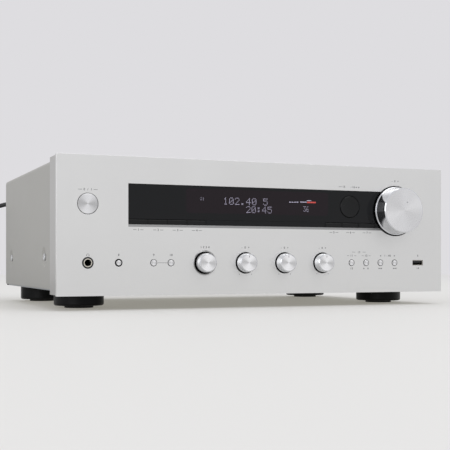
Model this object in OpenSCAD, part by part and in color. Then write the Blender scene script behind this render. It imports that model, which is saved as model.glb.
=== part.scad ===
// Stereo receiver: aluminium front panel on a moulded frame, folded steel case, feet, the controls that turn and
// press, the rear sockets, the main pieces inside and the captive mains lead.
// Millimetres, +Z up, the front faces -Y. The origin is on the surface it stands on, under the middle.

/* [Case] */
// Width over the front panel
case_w = 435; // [425:1:445]
// Depth from the front face to the back edge of the cover
case_d = 292; // [286:1:320]
// Height of the front panel
panel_h = 136; // [133:1:142]
// Clear height under the front panel
panel_lift = 14; // [12:1:18]
// Thickness of the aluminium front panel
panel_t = 5; // [4:0.5:6]
// Depth of the moulded frame behind the front panel
frame_d = 25.5; // [24.5:0.5:30]
// Thickness of the steel cover
cover_t = 1; // [0.8:0.1:1.4]
// How far the cover's top lies below the top of the front panel
cover_drop = 3.8; // [2.4:0.2:6]
// How far the cover's sides lie inside the front panel's ends
cover_inset = 0.5; // [0:0.1:1.5]
// Outer bend radius of the cover's top corners
cover_bend_r = 4; // [3:0.5:6]
// Height of the cover's lower edge above the foot of the front panel
cover_foot_h = 6.2; // [5.6:0.2:8]
// Thickness of the chassis steel
steel_t = 1.2; // [1:0.1:1.6]
// Height of the chassis underside above the foot of the front panel
base_h = 4.6; // [4:0.2:5.4]

/* [Display] */
// Distance from the left end of the panel to the window
window_inset = 70.5; // [66:0.5:76]
// Height of the window's lower edge on the panel
window_low = 69.7; // [68:0.1:71]
// Height of the window's upper edge on the panel
window_high = 109.5; // [108:0.5:113]
// Height of the sloped finger ledge under the window
ledge_h = 2.5; // [1.5:0.1:3]
// Height of the keys under the display
key_h = 4.9; // [4.5:0.1:5.5]
// Spacing of the keys
key_pitch = 20.4; // [19:0.1:21]
// How far the window lies behind the front face
window_recess = 0.8; // [0.5:0.1:0.9]

/* [Knobs] */
// Distance from the right end of the panel to the volume knob's axis
volume_inset = 60.3; // [56:0.1:64]
// Height of the volume knob's axis on the panel
volume_h = 88.8; // [87:0.1:91]
// Radius of the panel's opening round the volume knob
volume_hole_r = 27.6; // [27:0.1:28.5]
// Radius of the volume knob at its base
volume_r = 26.3; // [25.5:0.1:26.4]
// Radius of the volume knob's front face
volume_face_r = 24.1; // [23:0.1:24.6]
// How far the volume knob stands out of the panel
volume_out = 18; // [15:0.5:22]
// Spacing of the four small knobs
knob_pitch = 44.6; // [42:0.1:46]
// Radius of the small knobs
knob_r = 10.15; // [9.6:0.05:10.5]
// Radius of the small knobs' front faces
knob_face_r = 8.9; // [8.4:0.1:9.2]
// How far the small knobs stand out of the panel
knob_out = 10; // [9:0.5:13]
// Gap round the three tone knobs
knob_gap = 0.95; // [0.6:0.05:1.2]
// Gap round the input knob
input_gap = 2.4; // [1.8:0.1:2.6]
// Radius of the control shafts
shaft_r = 3; // [2.8:0.1:3.2]

/* [Buttons] */
// Height of the lower row of controls on the panel
row_h = 32; // [30:0.5:34]
// Distance from the panel's left end to the power button and the headphone socket
side_inset = 30.3; // [28:0.1:34]
// Radius of the power button
power_r = 9.85; // [9:0.05:10.5]
// Gap round the power button
power_gap = 0.3; // [0.2:0.05:0.5]
// Radius of the small round buttons
button_r = 2.95; // [2.6:0.05:3.1]
// Gap round the small buttons
button_gap = 0.45; // [0.3:0.05:0.6]
// Spacing of neighbouring small buttons
button_pitch = 18; // [16:0.5:19]
// How far the small buttons stand out of the panel
button_out = 0.9; // [0.5:0.1:1.5]
// Travel of the buttons and keys
press = 0.8; // [0.5:0.1:1]
// Radius of the cursor pad
pad_r = 12.65; // [12:0.05:13]

/* [Feet] */
// Radius of the feet
foot_r = 25.6; // [23:0.1:27]
// Distance from the panel's end to a foot's axis
foot_inset = 38.5; // [36:0.5:44]
// Depth of the front feet's axes behind the front face
foot_front = 70.4; // [62:0.2:80]
// Depth of the rear feet's axes behind the front face
foot_rear = 257.5; // [245:0.5:258]
// Radius of the soft pads under the feet
foot_pad_r = 14.8; // [12:0.1:18]
// Thickness of the soft pads
foot_pad_t = 2.3; // [1.5:0.1:3]

/* [Rear] */
// How far the speaker posts stand out behind the cover
post_out = 18; // [16:0.5:20]
// Spacing of the speaker posts across
post_pitch = 24; // [21:0.5:26]
// Spacing of the two rows of speaker posts
post_rows = 30; // [26:1:32]
// Radius of a speaker post's cap
post_cap_r = 8; // [7:0.1:9]
// Outer radius of a line jack's barrel
jack_r = 4.15; // [4:0.05:4.3]
// Spacing of the line jacks across
jack_pitch = 18; // [16:0.5:18.5]
// Spacing of the two rows of line jacks
jack_rows = 18; // [16:0.5:22]

/* [Mains lead] */
// Diameter of the mains lead
lead_d = 5.5; // [5:0.1:5.8]

/* [Hidden] */

$fn = 64;
over = 1;             // how far a cutting shape runs past what it cuts
fit = 0.2;            // clearance of moulded pieces that slot into each other
run_fit = 0.05;       // clearance of a shaft in its bush
seat_gap = 0.1;       // clearance of pieces that seat against each other

// The frame of the model
front_y = volume_out - (volume_out + case_d + post_out) / 2;
frame_back = panel_t + frame_d;
left_x = -case_w / 2;
right_x = case_w / 2;
function fy(d) = front_y + d;
function fz(h) = panel_lift + h;

// The moulded frame
frame_wall = 2.5;
cap_t = 2.5;
cap_low = 1;
cap_high = panel_h - 1.2;
frame_low = base_h - seat_gap - frame_wall;
frame_high = panel_h - 1;
frame_x = case_w / 2 - cap_t;
wall_back = panel_t + frame_wall;
edge_c = 0.5;

// The display, its keys and the cursor pad
window_x = left_x + window_inset;
volume_x = right_x - volume_inset;
key_gap = 0.5;
key_recess = 0.6;
key_flange_t = 1.2;
key_flange_h = 1.3;
key_top = window_low + key_h;
left_keys = 4;
right_keys = 3;
right_keys_end = volume_x - volume_hole_r + 2.1;
right_keys_x = right_keys_end - right_keys * key_pitch;
left_keys_end = window_x + left_keys * key_pitch;
pad_x = volume_x - 56.7;
pad_h = (key_top + window_high) / 2 + 0.1;
pad_gap = 0.4;
pad_d = 0.3;
pad_t = 3;
pivot_d = panel_t + frame_wall / 2;
gimbal_r = 10.2;
gimbal_ring = 2.2;
pin_r = 0.8;
pad_hub_r = 5;
pad_well_r = 11.2;
display_view_w = 150;
display_x = (left_keys_end + right_keys_x) / 2 + 4;

// The board behind the controls and its switches
board_t = 1.6;
board_d = panel_t + 18;
switch_w = 6;
switch_t = 3.5;
plunger_t = 1.5;
plunger_r = 1.75;
stem_r = 1.5;
switch_face = board_d - switch_t - plunger_t;
stem_end = switch_face - press - seat_gap;
board_edge = 10;

// Places of the controls on the panel
zone_inset = 96.5;
buttons_inset = 115.1;
usb_inset = 31;
side_x = left_x + side_inset;
direct_x = left_x + 60.8;
zone_x = left_x + zone_inset;
buttons_x = right_x - buttons_inset;
usb_x = right_x - usb_inset;
knob_x = [for (i = [0:3]) (i - 1.5) * knob_pitch];
small_buttons = concat(
    [for (i = [0:1]) zone_x + i * button_pitch],
    [for (i = [0:3]) buttons_x + i * button_pitch]);

// Knobs
knob_back = panel_t - 1;
knob_wall = 1.8;
hub_r = 5.2;
bush_r = 4.5;
bush_front = panel_t + 0.5;
control_w = 16;
control_t = 9;
jack_bore_r = 3.2;
jack_sleeve_r = 5.45;
jack_out = 0.4;
jack_depth = 36;
jack_body_w = 13;

// The case
cover_x = case_w / 2 - cover_inset;
cover_top = panel_h - cover_drop;
lip_w = 9;
dimple_h = 37.7;
dimple_r = 10.5;
dimple_floor_r = 6;
dimple_deep = 1.5;
dimples = [61, case_d - 39];
base_x = cover_x - cover_t - dimple_deep - seat_gap;
base_top = base_h + steel_t;
base_wall_h = dimple_h + dimple_r + 3;
rear_out = case_d - cover_t - seat_gap;
rear_in = rear_out - steel_t;
screw_r = 3.6;
screw_t = 1.8;
thread_r = 1.5;

// Pieces inside, as depths behind the front face and heights on the panel
transformer_x = -135;
transformer_d = 125;
core = [92, 54, 76];
sink_x = 22;
sink_w = 160;
sink_front = 156;
sink_deep = 38;
sink_high = 76;
sink_base = 7;
fins = 14;
fin_t = 1.8;
amp_x = [-72, 148];
amp_front = 52;
standoff = 8;
pillar_r = 3;
pillar_inset = 8;
board_bite = 0.3;     // how far a piece on a board reaches into it
device = [16, 5, 21];
device_pitch = 34;
device_lift = 10;
leg_w = 1.2;
leg_pitch = 5.4;
relay = [20, 26, 18];
relay_x = 96;
relay_d = 14;
relay_pitch = 30;
choke_r = 8;
choke_h = 14;
choke_d = 64;
amp_h = base_top + standoff;
input_d = rear_in - 18;
input_x = [-52, 200];

// Rear sockets
post_x = [for (i = [0:3]) left_x + 46 + i * post_pitch];
post_low_h = 38;
post_r = 3.2;
banana_r = 2.05;
banana_l = 17;
post_plate_t = 3;
post_plate_edge = 14;
post_tail = 6;
post_nut_t = 5;
post_nut_r = 5.7;
post_washer_t = 0.7;
post_washer_r = 5;
post_cap_back = post_plate_t + 1.2;
post_end = case_d + post_out - rear_out;
jack_low_h = 34;
jack_out_l = 8.6;
jack_hole_r = 1.6;
jack_flange_r = 5.6;
jack_flange_t = 1.2;
jack_x = [for (i = [0:8]) i * jack_pitch - 34];
coax_x = right_x - 71.5;
coax_h = 76;
lan_x = right_x - 41.5;
lan_h = 38;
lan_w = 16;
lan_mouth = [11.9, 7];
lan_deep = 12;
aerial_x = right_x - 35.5;
aerial_h = 92;
aerial_r = 4.76;
aerial_l = 11;
aerial_nut_r = 7;
aerial_nut_t = 2.5;
aerial_bore_r = 1.2;
aerial_block = 8;
socket_out = 0.5;
jack_block = 6;
jack_block_h = 7;

// More details of the front
usb_w = 13.2;
usb_t = 5.6;
usb_shell = 0.4;
usb_recess = 0.8;
tube_t = 8;
shaft_end = panel_t + 13;
boss_r = 3.5;
board_bosses = [for (x = [-frame_x + 20, -44.6, 44.6, frame_x - 20], h = [17, panel_h - 18]) [x, h]];
pointer_w = 0.9;
pointer_deep = 0.4;
button_flange = 1.6;
gimbal_t = 2.2;

// Details of the case
foot_round = 2;
foot_seat = 1;
lip_screw_pitch = 150;
lip_screws = [for (i = [-1:1]) i * lip_screw_pitch];
lip_screw_h = cover_top - lip_w / 2 - 0.5;
rear_x = cover_x - cover_t - fit;
vent_l = 42;
vent_w = 3.2;
vent_pitch = 10;
vent_count = 18;
vent_x = [27 - cover_x, 20];
vent_d = 104;
vent_step = 60;
vent_rows = [for (x = vent_x, i = [0:2]) [x, vent_d + i * vent_step]];
can_r = 17.5;
can_h = 50;
can_x = 24;
can_d = 34;
can_pitch = 42;
grommet_neck_r = 5.2;

// The mains lead: where it leaves, its free route by hand, and the coil that stores its length
lead_r = lead_d / 2;
exit_x = left_x + 27.5;
exit_h = 110;
grommet_l = 26;
grommet_r = 6.2;
tie_t = 0.5;
floor_z = lead_r + tie_t;
exit_y = fy(rear_out) + grommet_l;
route = [
    [0, 0, 0], [0, 7, 0], [-1, 14, -0.2], [-4, 21, -0.5], [-9, 27, -1], [-15, 31.5, -2], [-22, 34.5, -3.6],
    [-29, 36, -6], [-36, 36.5, -10], [-42, 36.5, -15.5], [-47, 36.5, -22.5], [-50.5, 36.5, -31],
    [-52.5, 36.5, -41], [-53.5, 36.5, -52], [-54.5, 36.5, -63], [-56, 36.5, -74], [-58.5, 36.5, -85],
    [-62.5, 36.5, -95], [-68, 36.5, -104], [-75, 36.5, -111.5], [-83, 36.5, -117], [-91, 36.5, -119.8],
    [-98, 36.5, -120.75], [-104, 36.5, -120.75]];
coil_pitch = lead_d + 0.5;
coil_mid_r = 6 * lead_d;
coil_turns = 7.25;
coil_out_r = coil_mid_r + coil_turns * coil_pitch / 4;
coil_in_r = coil_mid_r - coil_turns * coil_pitch / 4;
coil_loop_rings = 24;
coil_lift = coil_pitch;
tail = [
    [0, 0, 6], [0, -7, 6], [0, -15, 5.4], [0, -24, 3.7], [0, -33, 1.6], [0, -42, 0.1], [0, -50, -0.4],
    [0, -60, -0.4], [0, -69, 0.1], [0, -78, 1.5], [0, -87, 3], [0, -95, 3.75], [0, -103, 3.75]];
plug_w = 26;
plug_t = 14;
plug_l = 36;
plug_neck_l = 14;
plug_pin_r = 2;
plug_pin_l = 19;
plug_pins = 18.6;

// ---- Placing ----

// A place on the receiver: x from the middle, d behind the front face, h above the foot of the panel
module at(x, d, h) translate([x, fy(d), fz(h)]) children();

// A layer t thick from depth d, drawn as seen from the front
module layer(d, t) at(0, d + t, 0) rotate([90, 0, 0]) linear_extrude(t) children();

// A round bar or bore of length l that runs back from depth d
module bar(x, d, h, l, r) at(x, d, h) rotate([-90, 0, 0]) cylinder(h = l, r = r);

// A turned piece on a front-to-back axis, its profile drawn as radius and depth behind d
module turned(x, d, h) at(x, d, h) rotate([-90, 0, 0]) rotate_extrude() children();

// A rectangle between two corners
module area(x1, h1, x2, h2) translate([x1, h1]) square([x2 - x1, h2 - h1]);

// A rectangle with round corners
module rounded(x1, h1, x2, h2, r) {
    area(x1 + r, h1, x2 - r, h2);
    area(x1, h1 + r, x2, h2 - r);
    for (x = [x1 + r, x2 - r], h = [h1 + r, h2 - r]) translate([x, h]) circle(r);
}

// A slot with round ends, centred
module slot(x, h, length, width) {
    area(x - length / 2 + width / 2, h - width / 2, x + length / 2 - width / 2, h + width / 2);
    for (s = [-1, 1]) translate([x + s * (length - width) / 2, h]) circle(width / 2);
}

// ---- Front ----

// The openings that the panel and the frame share: every control's hole
module control_holes() {
    translate([side_x, volume_h]) circle(power_r + power_gap);
    translate([side_x, row_h]) circle(jack_sleeve_r + fit);
    translate([direct_x, row_h]) circle(button_r + 2 * button_gap);
    for (x = small_buttons) translate([x, row_h]) circle(button_r + button_gap);
    area(usb_x - usb_w / 2 - fit, row_h - usb_t / 2 - fit, usb_x + usb_w / 2 + fit, row_h + usb_t / 2 + fit);
}

// A triangular cut along the x axis that bevels an edge at depth 0; rises by dh over depth dd
module bevel_cut(x1, x2, h, dh, dd) {
    at(x1, 0, h) rotate([90, 0, 90]) linear_extrude(x2 - x1)
        polygon([[-over, -dh * over / dd], [dd, dh], [dd, dh * (1 + over)], [-over, dh * (1 + over)]]);
}

module front_panel() {
    color("#c9c9ca") difference() {
        layer(0, panel_t) difference() {
            area(left_x, 0, right_x, panel_h);
            area(window_x, window_low, volume_x, window_high);
            translate([volume_x, volume_h]) circle(volume_hole_r);
            translate([knob_x[0], row_h]) circle(knob_r + input_gap);
            for (i = [1:3]) translate([knob_x[i], row_h]) circle(knob_r + knob_gap);
            control_holes();
        }
        // The sloped ledge under the keys
        difference() {
            bevel_cut(window_x, volume_x, window_low - ledge_h, ledge_h, ledge_h);
            bar(volume_x, -over, volume_h, panel_t + 2 * over, volume_r);
        }
        // The plate's four edges are broken
        for (s = [-1, 1]) {
            at(0, 0, panel_h / 2 + s * panel_h / 2) rotate([45, 0, 0])
                cube([case_w + 2 * over, edge_c * sqrt(2), edge_c * sqrt(2)], center = true);
            at(s * case_w / 2, 0, panel_h / 2) rotate([0, 0, 45])
                cube([edge_c * sqrt(2), edge_c * sqrt(2), panel_h + 2 * over], center = true);
        }
    }
}

module front_frame() {
    color("#1b1c1e") difference() {
        union() {
            layer(panel_t, frame_d) difference() {
                area(-frame_x, frame_low, frame_x, frame_high);
                area(-frame_x + frame_wall, frame_low + frame_wall, frame_x - frame_wall, frame_high - frame_wall);
            }
            layer(panel_t, frame_wall) difference() {
                area(-frame_x, frame_low, frame_x, frame_high);
                area(window_x, window_low, left_keys_end, key_top);
                area(right_keys_x, window_low, right_keys_end, key_top);
                rounded(display_x - display_view_w / 2, key_top + 3, display_x + display_view_w / 2,
                    window_high - 3, 2);
                translate([pad_x, pad_h]) circle(pad_well_r);
                translate([volume_x, volume_h]) circle(bush_r + fit);
                for (x = knob_x) translate([x, row_h]) circle(bush_r + fit);
                control_holes();
            }
            for (p = board_bosses) bar(p[0], wall_back - 0.5, p[1], board_d - seat_gap - wall_back + 0.5, boss_r);
        }
        at(pad_x, pivot_d, pad_h) rotate([0, 90, 0])
            cylinder(h = 2 * pad_well_r + 5, r = pin_r + run_fit, center = true);
    }
}

module side_cap(s) {
    color("#b0b0ae") difference() {
        at(s * (frame_x + seat_gap + (cap_t - seat_gap) / 2), panel_t + frame_d / 2, (cap_low + cap_high) / 2)
            cube([cap_t - seat_gap, frame_d, cap_high - cap_low], center = true);
        at(s * case_w / 2, frame_back, (cap_low + cap_high) / 2) rotate([0, 0, 45])
            cube([edge_c * sqrt(2), edge_c * sqrt(2), cap_high - cap_low + 2 * over], center = true);
    }
}
module side_cap_left() side_cap(-1);
module side_cap_right() side_cap(1);

// The window with the strip beside the keys, cut round the volume knob and the cursor pad
module display_window() {
    color("#232427") layer(window_recess, panel_t - seat_gap - window_recess) difference() {
        area(window_x + fit, window_low + fit, volume_x, window_high - fit);
        area(window_x, window_low, left_keys_end, key_top);
        area(right_keys_x, window_low, right_keys_end, key_top);
        translate([volume_x, volume_h]) circle(volume_hole_r + fit);
        translate([pad_x, pad_h]) circle(pad_r + pad_gap);
    }
}

// A vacuum display: a flat glass tube with a metal edge on two feet, its glass close behind the frame
module display_module() {
    color("#3a4440") {
        layer(wall_back + seat_gap, tube_t)
            rounded(display_x - display_view_w / 2 - 6, key_top + key_flange_h + 0.4,
                display_x + display_view_w / 2 + 6, window_high - 1, 2);
        for (s = [-1, 1])
            layer(wall_back + seat_gap + tube_t - 0.5, board_d - wall_back - tube_t - 2 * seat_gap + 0.5)
                area(display_x + s * 60 - 4, key_top + 6, display_x + s * 60 + 4, window_high - 6);
    }
}

// The board with a push switch behind every button and key
module control_board() {
    switches = concat(
        [[side_x, volume_h], [direct_x, row_h]],
        [for (x = small_buttons) [x, row_h]],
        [for (i = [0:left_keys - 1]) [window_x + (i + 0.5) * key_pitch, (window_low + key_top) / 2]],
        [for (i = [0:right_keys - 1]) [right_keys_x + (i + 0.5) * key_pitch, (window_low + key_top) / 2]]);
    color("#2f6b45") {
        layer(board_d, board_t) difference() {
            area(left_x + board_edge, board_edge, right_x - board_edge, panel_h - board_edge);
            area(side_x - jack_body_w / 2 - fit, row_h - jack_body_w / 2 - fit,
                side_x + jack_body_w / 2 + fit, row_h + jack_body_w / 2 + fit);
        }
        for (p = switches) {
            layer(board_d - switch_t, switch_t + 0.5)
                area(p[0] - switch_w / 2, p[1] - switch_w / 2, p[0] + switch_w / 2, p[1] + switch_w / 2);
            bar(p[0], switch_face, p[1], plunger_t + 0.5, plunger_r);
        }
    }
}

// The volume control and the four smaller ones, each a square body with a threaded bush
module rotary_controls() {
    color("#8b8d90")
    for (p = concat([[volume_x, volume_h]], [for (x = knob_x) [x, row_h]])) difference() {
        union() {
            layer(board_d - seat_gap - control_t, control_t)
                rounded(p[0] - control_w / 2, p[1] - control_w / 2, p[0] + control_w / 2, p[1] + control_w / 2, 1.5);
            bar(p[0], bush_front, p[1], board_d - control_t - bush_front + 0.5, bush_r);
        }
        bar(p[0], bush_front - over, p[1], shaft_end + 0.3 - bush_front + over, shaft_r + run_fit);
    }
}

module headphone_jack() {
    color("#6f665a") difference() {
        union() {
            bar(side_x, -jack_out, row_h, wall_back + seat_gap + jack_out + 0.5, jack_sleeve_r);
            layer(wall_back + seat_gap, jack_depth - wall_back - seat_gap)
                rounded(side_x - jack_body_w / 2, row_h - jack_body_w / 2, side_x + jack_body_w / 2,
                    row_h + jack_body_w / 2, 1);
        }
        bar(side_x, -jack_out - over, row_h, jack_depth - 1.5 + jack_out + over, jack_bore_r);
    }
}

// A serial-bus socket: a folded shell with its contact tongue
module usb_socket() {
    color("#b9bbbd") {
        layer(usb_recess, board_d - seat_gap - usb_recess) difference() {
            area(usb_x - usb_w / 2, row_h - usb_t / 2, usb_x + usb_w / 2, row_h + usb_t / 2);
            area(usb_x - usb_w / 2 + usb_shell, row_h - usb_t / 2 + usb_shell, usb_x + usb_w / 2 - usb_shell,
                row_h + usb_t / 2 - usb_shell);
        }
        layer(board_d - 8, 8 - seat_gap) area(usb_x - usb_w / 2, row_h - usb_t / 2, usb_x + usb_w / 2,
            row_h + usb_t / 2);
        layer(usb_recess + 1.5, board_d - usb_recess - 2)
            area(usb_x - usb_w / 2 + 1.2, row_h + 0.3, usb_x + usb_w / 2 - 1.2, row_h + usb_t / 2 - usb_shell - 0.3);
    }
}

// ---- Knobs ----

// A hollow turned knob: skin_t thick in front, a collar with a groove at its foot, and its shaft
module knob(x, h, base_r, face_r, out, chamfer, collar, skin_t) {
    turned(x, 0, h) polygon([
        [0, -out], [face_r, -out], [face_r + chamfer, -out + chamfer],
        [base_r - 0.6, -collar - 0.8], [base_r - 1.2, -collar - 0.8], [base_r - 1.2, -collar],
        [base_r, -collar], [base_r, knob_back], [base_r - knob_wall, knob_back], [base_r - knob_wall - 0.6, -collar],
        [face_r - knob_wall, -out + skin_t + 1], [face_r - knob_wall - 1, -out + skin_t],
        [hub_r, -out + skin_t], [hub_r, knob_back], [shaft_r, knob_back], [shaft_r, shaft_end], [0, shaft_end]]);
}

// A small knob; its pointer is a short groove at the rim
module small_knob(i) {
    color("#c4c4c5") difference() {
        knob(knob_x[i], row_h, knob_r, knob_face_r, knob_out, 0.5, 0, 2.4);
        at(knob_x[i], -knob_out, row_h + knob_face_r - 2.2)
            cube([pointer_w, 2 * pointer_deep, 2.6], center = true);
    }
}

module volume_knob() {
    color("#d2d3d5") difference() {
        knob(volume_x, volume_h, volume_r, volume_face_r, volume_out, 0.8, 2.6, 3.2);
        bar(volume_x + 12, -volume_out - over, volume_h + 14, over + pointer_deep, 1);
    }
}
module input_knob() small_knob(0);
module bass_knob() small_knob(1);
module treble_knob() small_knob(2);
module balance_knob() small_knob(3);

// ---- Buttons and keys ----

// A round button: its cap, a flange behind the frame's wall and a stem to its switch
module button(x, h, r, out) {
    turned(x, 0, h) polygon([
        [0, -out], [r - 0.3, -out], [r, -out + 0.3], [r, wall_back + seat_gap],
        [r + button_flange, wall_back + seat_gap], [r + button_flange, wall_back + seat_gap + key_flange_t],
        [stem_r, wall_back + seat_gap + key_flange_t], [stem_r, stem_end], [0, stem_end]]);
}
module power_button() color("#c2c2c3") button(side_x, volume_h, power_r, 0.3);
module direct_button() color("#c2c2c3") button(direct_x, row_h, button_r - button_gap, button_out);
module zone_button() color("#bdbdbe") button(small_buttons[0], row_h, button_r, button_out);
module zone_off_button() color("#bdbdbe") button(small_buttons[1], row_h, button_r, button_out);
module memory_button() color("#bdbdbe") button(small_buttons[2], row_h, button_r, button_out);
module tuning_button() color("#bdbdbe") button(small_buttons[3], row_h, button_r, button_out);
module preset_down_button() color("#bdbdbe") button(small_buttons[4], row_h, button_r, button_out);
module preset_up_button() color("#bdbdbe") button(small_buttons[5], row_h, button_r, button_out);

// A bar-shaped key in the strip under the display, numbered from the left of its group
module key(group_x, i) {
    x1 = group_x + i * key_pitch + key_gap / 2;
    x2 = x1 + key_pitch - key_gap;
    mid_h = (window_low + key_top) / 2;
    color("#17181a") {
        layer(key_recess, wall_back + seat_gap + key_flange_t - key_recess)
            area(x1, window_low + key_gap / 2, x2, key_top - key_gap / 2);
        layer(wall_back + seat_gap, key_flange_t)
            area(x1, window_low - key_flange_h, x2, key_top + key_flange_h);
        bar((x1 + x2) / 2, wall_back + 0.5, mid_h, stem_end - wall_back - 0.5, stem_r);
    }
}
module speaker_a_key() key(window_x, 0);
module speaker_b_key() key(window_x, 1);
module display_key() key(window_x, 2);
module info_key() key(window_x, 3);
module setup_key() key(right_keys_x, 0);
module enter_key() key(right_keys_x, 1);
module return_key() key(right_keys_x, 2);

// The ring that lets the cursor pad rock both ways: it turns on pins along x in the frame's wall
module cursor_gimbal() {
    color("#3b3d40") difference() {
        union() {
            bar(pad_x, pivot_d - gimbal_t / 2, pad_h, gimbal_t, gimbal_r);
            at(pad_x, pivot_d, pad_h) rotate([0, 90, 0])
                cylinder(h = 2 * pad_well_r + 3, r = pin_r, center = true);
        }
        bar(pad_x, pivot_d - gimbal_t, pad_h, 2 * gimbal_t, gimbal_r - gimbal_ring);
        at(pad_x, pivot_d, pad_h)
            cylinder(h = 2 * gimbal_r + 2, r = pin_r + run_fit, center = true);
    }
}

// The cursor pad: a shallow dish on a hub whose pins along z turn in the ring
module cursor_pad() {
    color("#1c1d1f") {
        turned(pad_x, 0, pad_h) polygon([
            [0, pad_d + 0.8], [pad_r - 4, pad_d + 0.6], [pad_r - 0.6, pad_d], [pad_r, pad_d + 0.6],
            [pad_r, pad_d + pad_t], [pad_hub_r, pad_d + pad_t], [pad_hub_r, pivot_d + 1.1], [0, pivot_d + 1.1]]);
        at(pad_x, pivot_d, pad_h) cylinder(h = 2 * (gimbal_r - 0.5), r = pin_r, center = true);
    }
}

// ---- Case ----

// The folded outline of the cover as seen from the front
module cover_fold(inset) {
    r = cover_bend_r - inset;
    difference() {
        rounded(-cover_x + inset, cover_foot_h - 2 * cover_bend_r, cover_x - inset, cover_top - inset, r);
        area(-cover_x - over, -4 * cover_bend_r, cover_x + over, cover_foot_h);
    }
}

// A dish pressed into the cover's side for a screw
module dish(s, d, grow) {
    at(s * (cover_x - grow), d, dimple_h) rotate([0, -s * 90, 0])
        cylinder(h = dimple_deep, r1 = dimple_r, r2 = dimple_floor_r);
}

// The cover: one folded sheet with rows of slots over the amplifier and the power supply
module top_cover() {
    front = frame_back + seat_gap;
    color("#8e8e8c") difference() {
        union() {
            layer(front, case_d - front) difference() {
                cover_fold(0);
                cover_fold(cover_t);
                area(-cover_x + cover_t, cover_foot_h - over, cover_x - cover_t, cover_top - 2 * cover_bend_r);
            }
            layer(case_d - cover_t, cover_t) difference() {
                cover_fold(0);
                area(-cover_x + cover_bend_r, cover_foot_h - over, cover_x - cover_bend_r, cover_top - lip_w);
                area(-cover_x - over, cover_foot_h - over, cover_x + over, cover_top - lip_w);
            }
            intersection() {
                for (s = [-1, 1], d = dimples) dish(s, d, cover_t);
                at(-cover_x, frame_back, 0) cube([2 * cover_x, case_d, panel_h]);
            }
        }
        for (s = [-1, 1], d = dimples) {
            dish(s, d, 0);
            at(s * (cover_x - dimple_deep - cover_t - over), d, dimple_h) rotate([0, s * 90, 0])
                cylinder(h = dimple_deep + cover_t + 2 * over, r = thread_r + fit);
        }
        for (x = lip_screws) bar(x, case_d - cover_t - over, lip_screw_h, cover_t + 2 * over, thread_r + fit);
        translate([0, 0, fz(cover_top - cover_t - over)]) linear_extrude(cover_t + 2 * over)
            for (row = vent_rows, i = [0:vent_count - 1])
                translate([row[0] + i * vent_pitch, fy(row[1])]) rotate(90) slot(0, 0, vent_l, vent_w);
    }
}

// The chassis: a tray with low sides, vented under the amplifier, its front tongue held in the frame
module chassis_base() {
    front = frame_back + seat_gap;
    tongue_x = frame_x - frame_wall - fit;
    color("#a9abac") difference() {
        union() {
            at(-base_x, front, base_h) cube([2 * base_x, rear_in - seat_gap - front, steel_t]);
            at(-tongue_x, frame_back - 14, base_h) cube([2 * tongue_x, 15, steel_t]);
            for (s = [-1, 1]) at(s * (base_x - steel_t / 2) - steel_t / 2, front, base_h)
                cube([steel_t, rear_in - seat_gap - front, base_wall_h - base_h]);
        }
        for (s = [-1, 1], d = dimples) at(s * (base_x - steel_t - over), d, dimple_h) rotate([0, s * 90, 0])
            cylinder(h = steel_t + 2 * over, r = thread_r + fit);
        translate([0, 0, fz(base_h - over)]) linear_extrude(steel_t + 2 * over)
            for (d = [sink_front + 8, sink_front + 26], i = [0:8])
                translate([sink_x + (i - 4) * 17, fy(d)]) rotate(90) slot(0, 0, 14, 5);
    }
}

// The rear panel with a hole for every socket, post and screw
module rear_panel() {
    color("#1f2022") layer(rear_in, steel_t) difference() {
        union() {
            area(-rear_x, base_h, rear_x, cover_top - 2 * cover_bend_r);
            rounded(-rear_x, base_h, rear_x, cover_top - cover_t - seat_gap, cover_bend_r - cover_t);
        }
        for (x = post_x, h = [post_low_h, post_low_h + post_rows]) translate([x, h]) circle(post_r + fit);
        for (x = jack_x, h = [jack_low_h, jack_low_h + jack_rows]) translate([x, h]) circle(jack_r + fit);
        translate([coax_x, coax_h]) circle(jack_r + fit);
        translate([aerial_x, aerial_h]) circle(aerial_r + fit);
        area(lan_x - lan_w / 2 - fit, lan_h - lan_w / 2 - fit, lan_x + lan_w / 2 + fit, lan_h + lan_w / 2 + fit);
        translate([exit_x, exit_h]) circle(grommet_neck_r + fit);
        for (x = lip_screws) translate([x, lip_screw_h]) circle(thread_r + fit);
        for (row = [0, 1], i = [-7:7]) translate([i * 9 - 8, 96 + row * 14]) rotate(90) slot(0, 0, 10, 3);
    }
}

// A pan-head screw along +z, its head's seat at 0
module screw(length) {
    rotate_extrude() polygon([[0, -length], [thread_r, -length], [thread_r, 0], [screw_r, 0], [screw_r, screw_t - 0.8],
        [screw_r - 0.8, screw_t], [0, screw_t]]);
}

// Four screws in the cover's dishes and three through its rear lip
module screws() {
    color("#3a3b3d") {
        for (s = [-1, 1], d = dimples) at(s * (cover_x - dimple_deep), d, dimple_h) rotate([0, s * 90, 0])
            screw(cover_t + steel_t + 3);
        for (x = lip_screws) at(x, case_d, lip_screw_h) rotate([-90, 0, 0]) screw(cover_t + steel_t + 3);
    }
}

// Places of the four feet
module at_feet() {
    for (s = [-1, 1], d = [foot_front, foot_rear]) at(s * (case_w / 2 - foot_inset), d, 0) children();
}

module feet() {
    color("#1a1b1d") at_feet() translate([0, 0, foot_pad_t - panel_lift]) rotate_extrude() {
        difference() {
            square([foot_r, panel_lift + base_h - foot_pad_t]);
            translate([foot_r - foot_round, -over]) square([foot_round + over, foot_round + over]);
            square([foot_pad_r + fit, foot_seat]);
        }
        intersection() {
            translate([foot_r - foot_round, foot_round]) circle(foot_round);
            translate([foot_r - 2 * foot_round, 0]) square(2 * foot_round);
        }
    }
}

module foot_pads() {
    color("#2b2c2e") at_feet() translate([0, 0, -panel_lift])
        cylinder(h = foot_pad_t + foot_seat, r = foot_pad_r);
}

// ---- Inside ----

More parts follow.
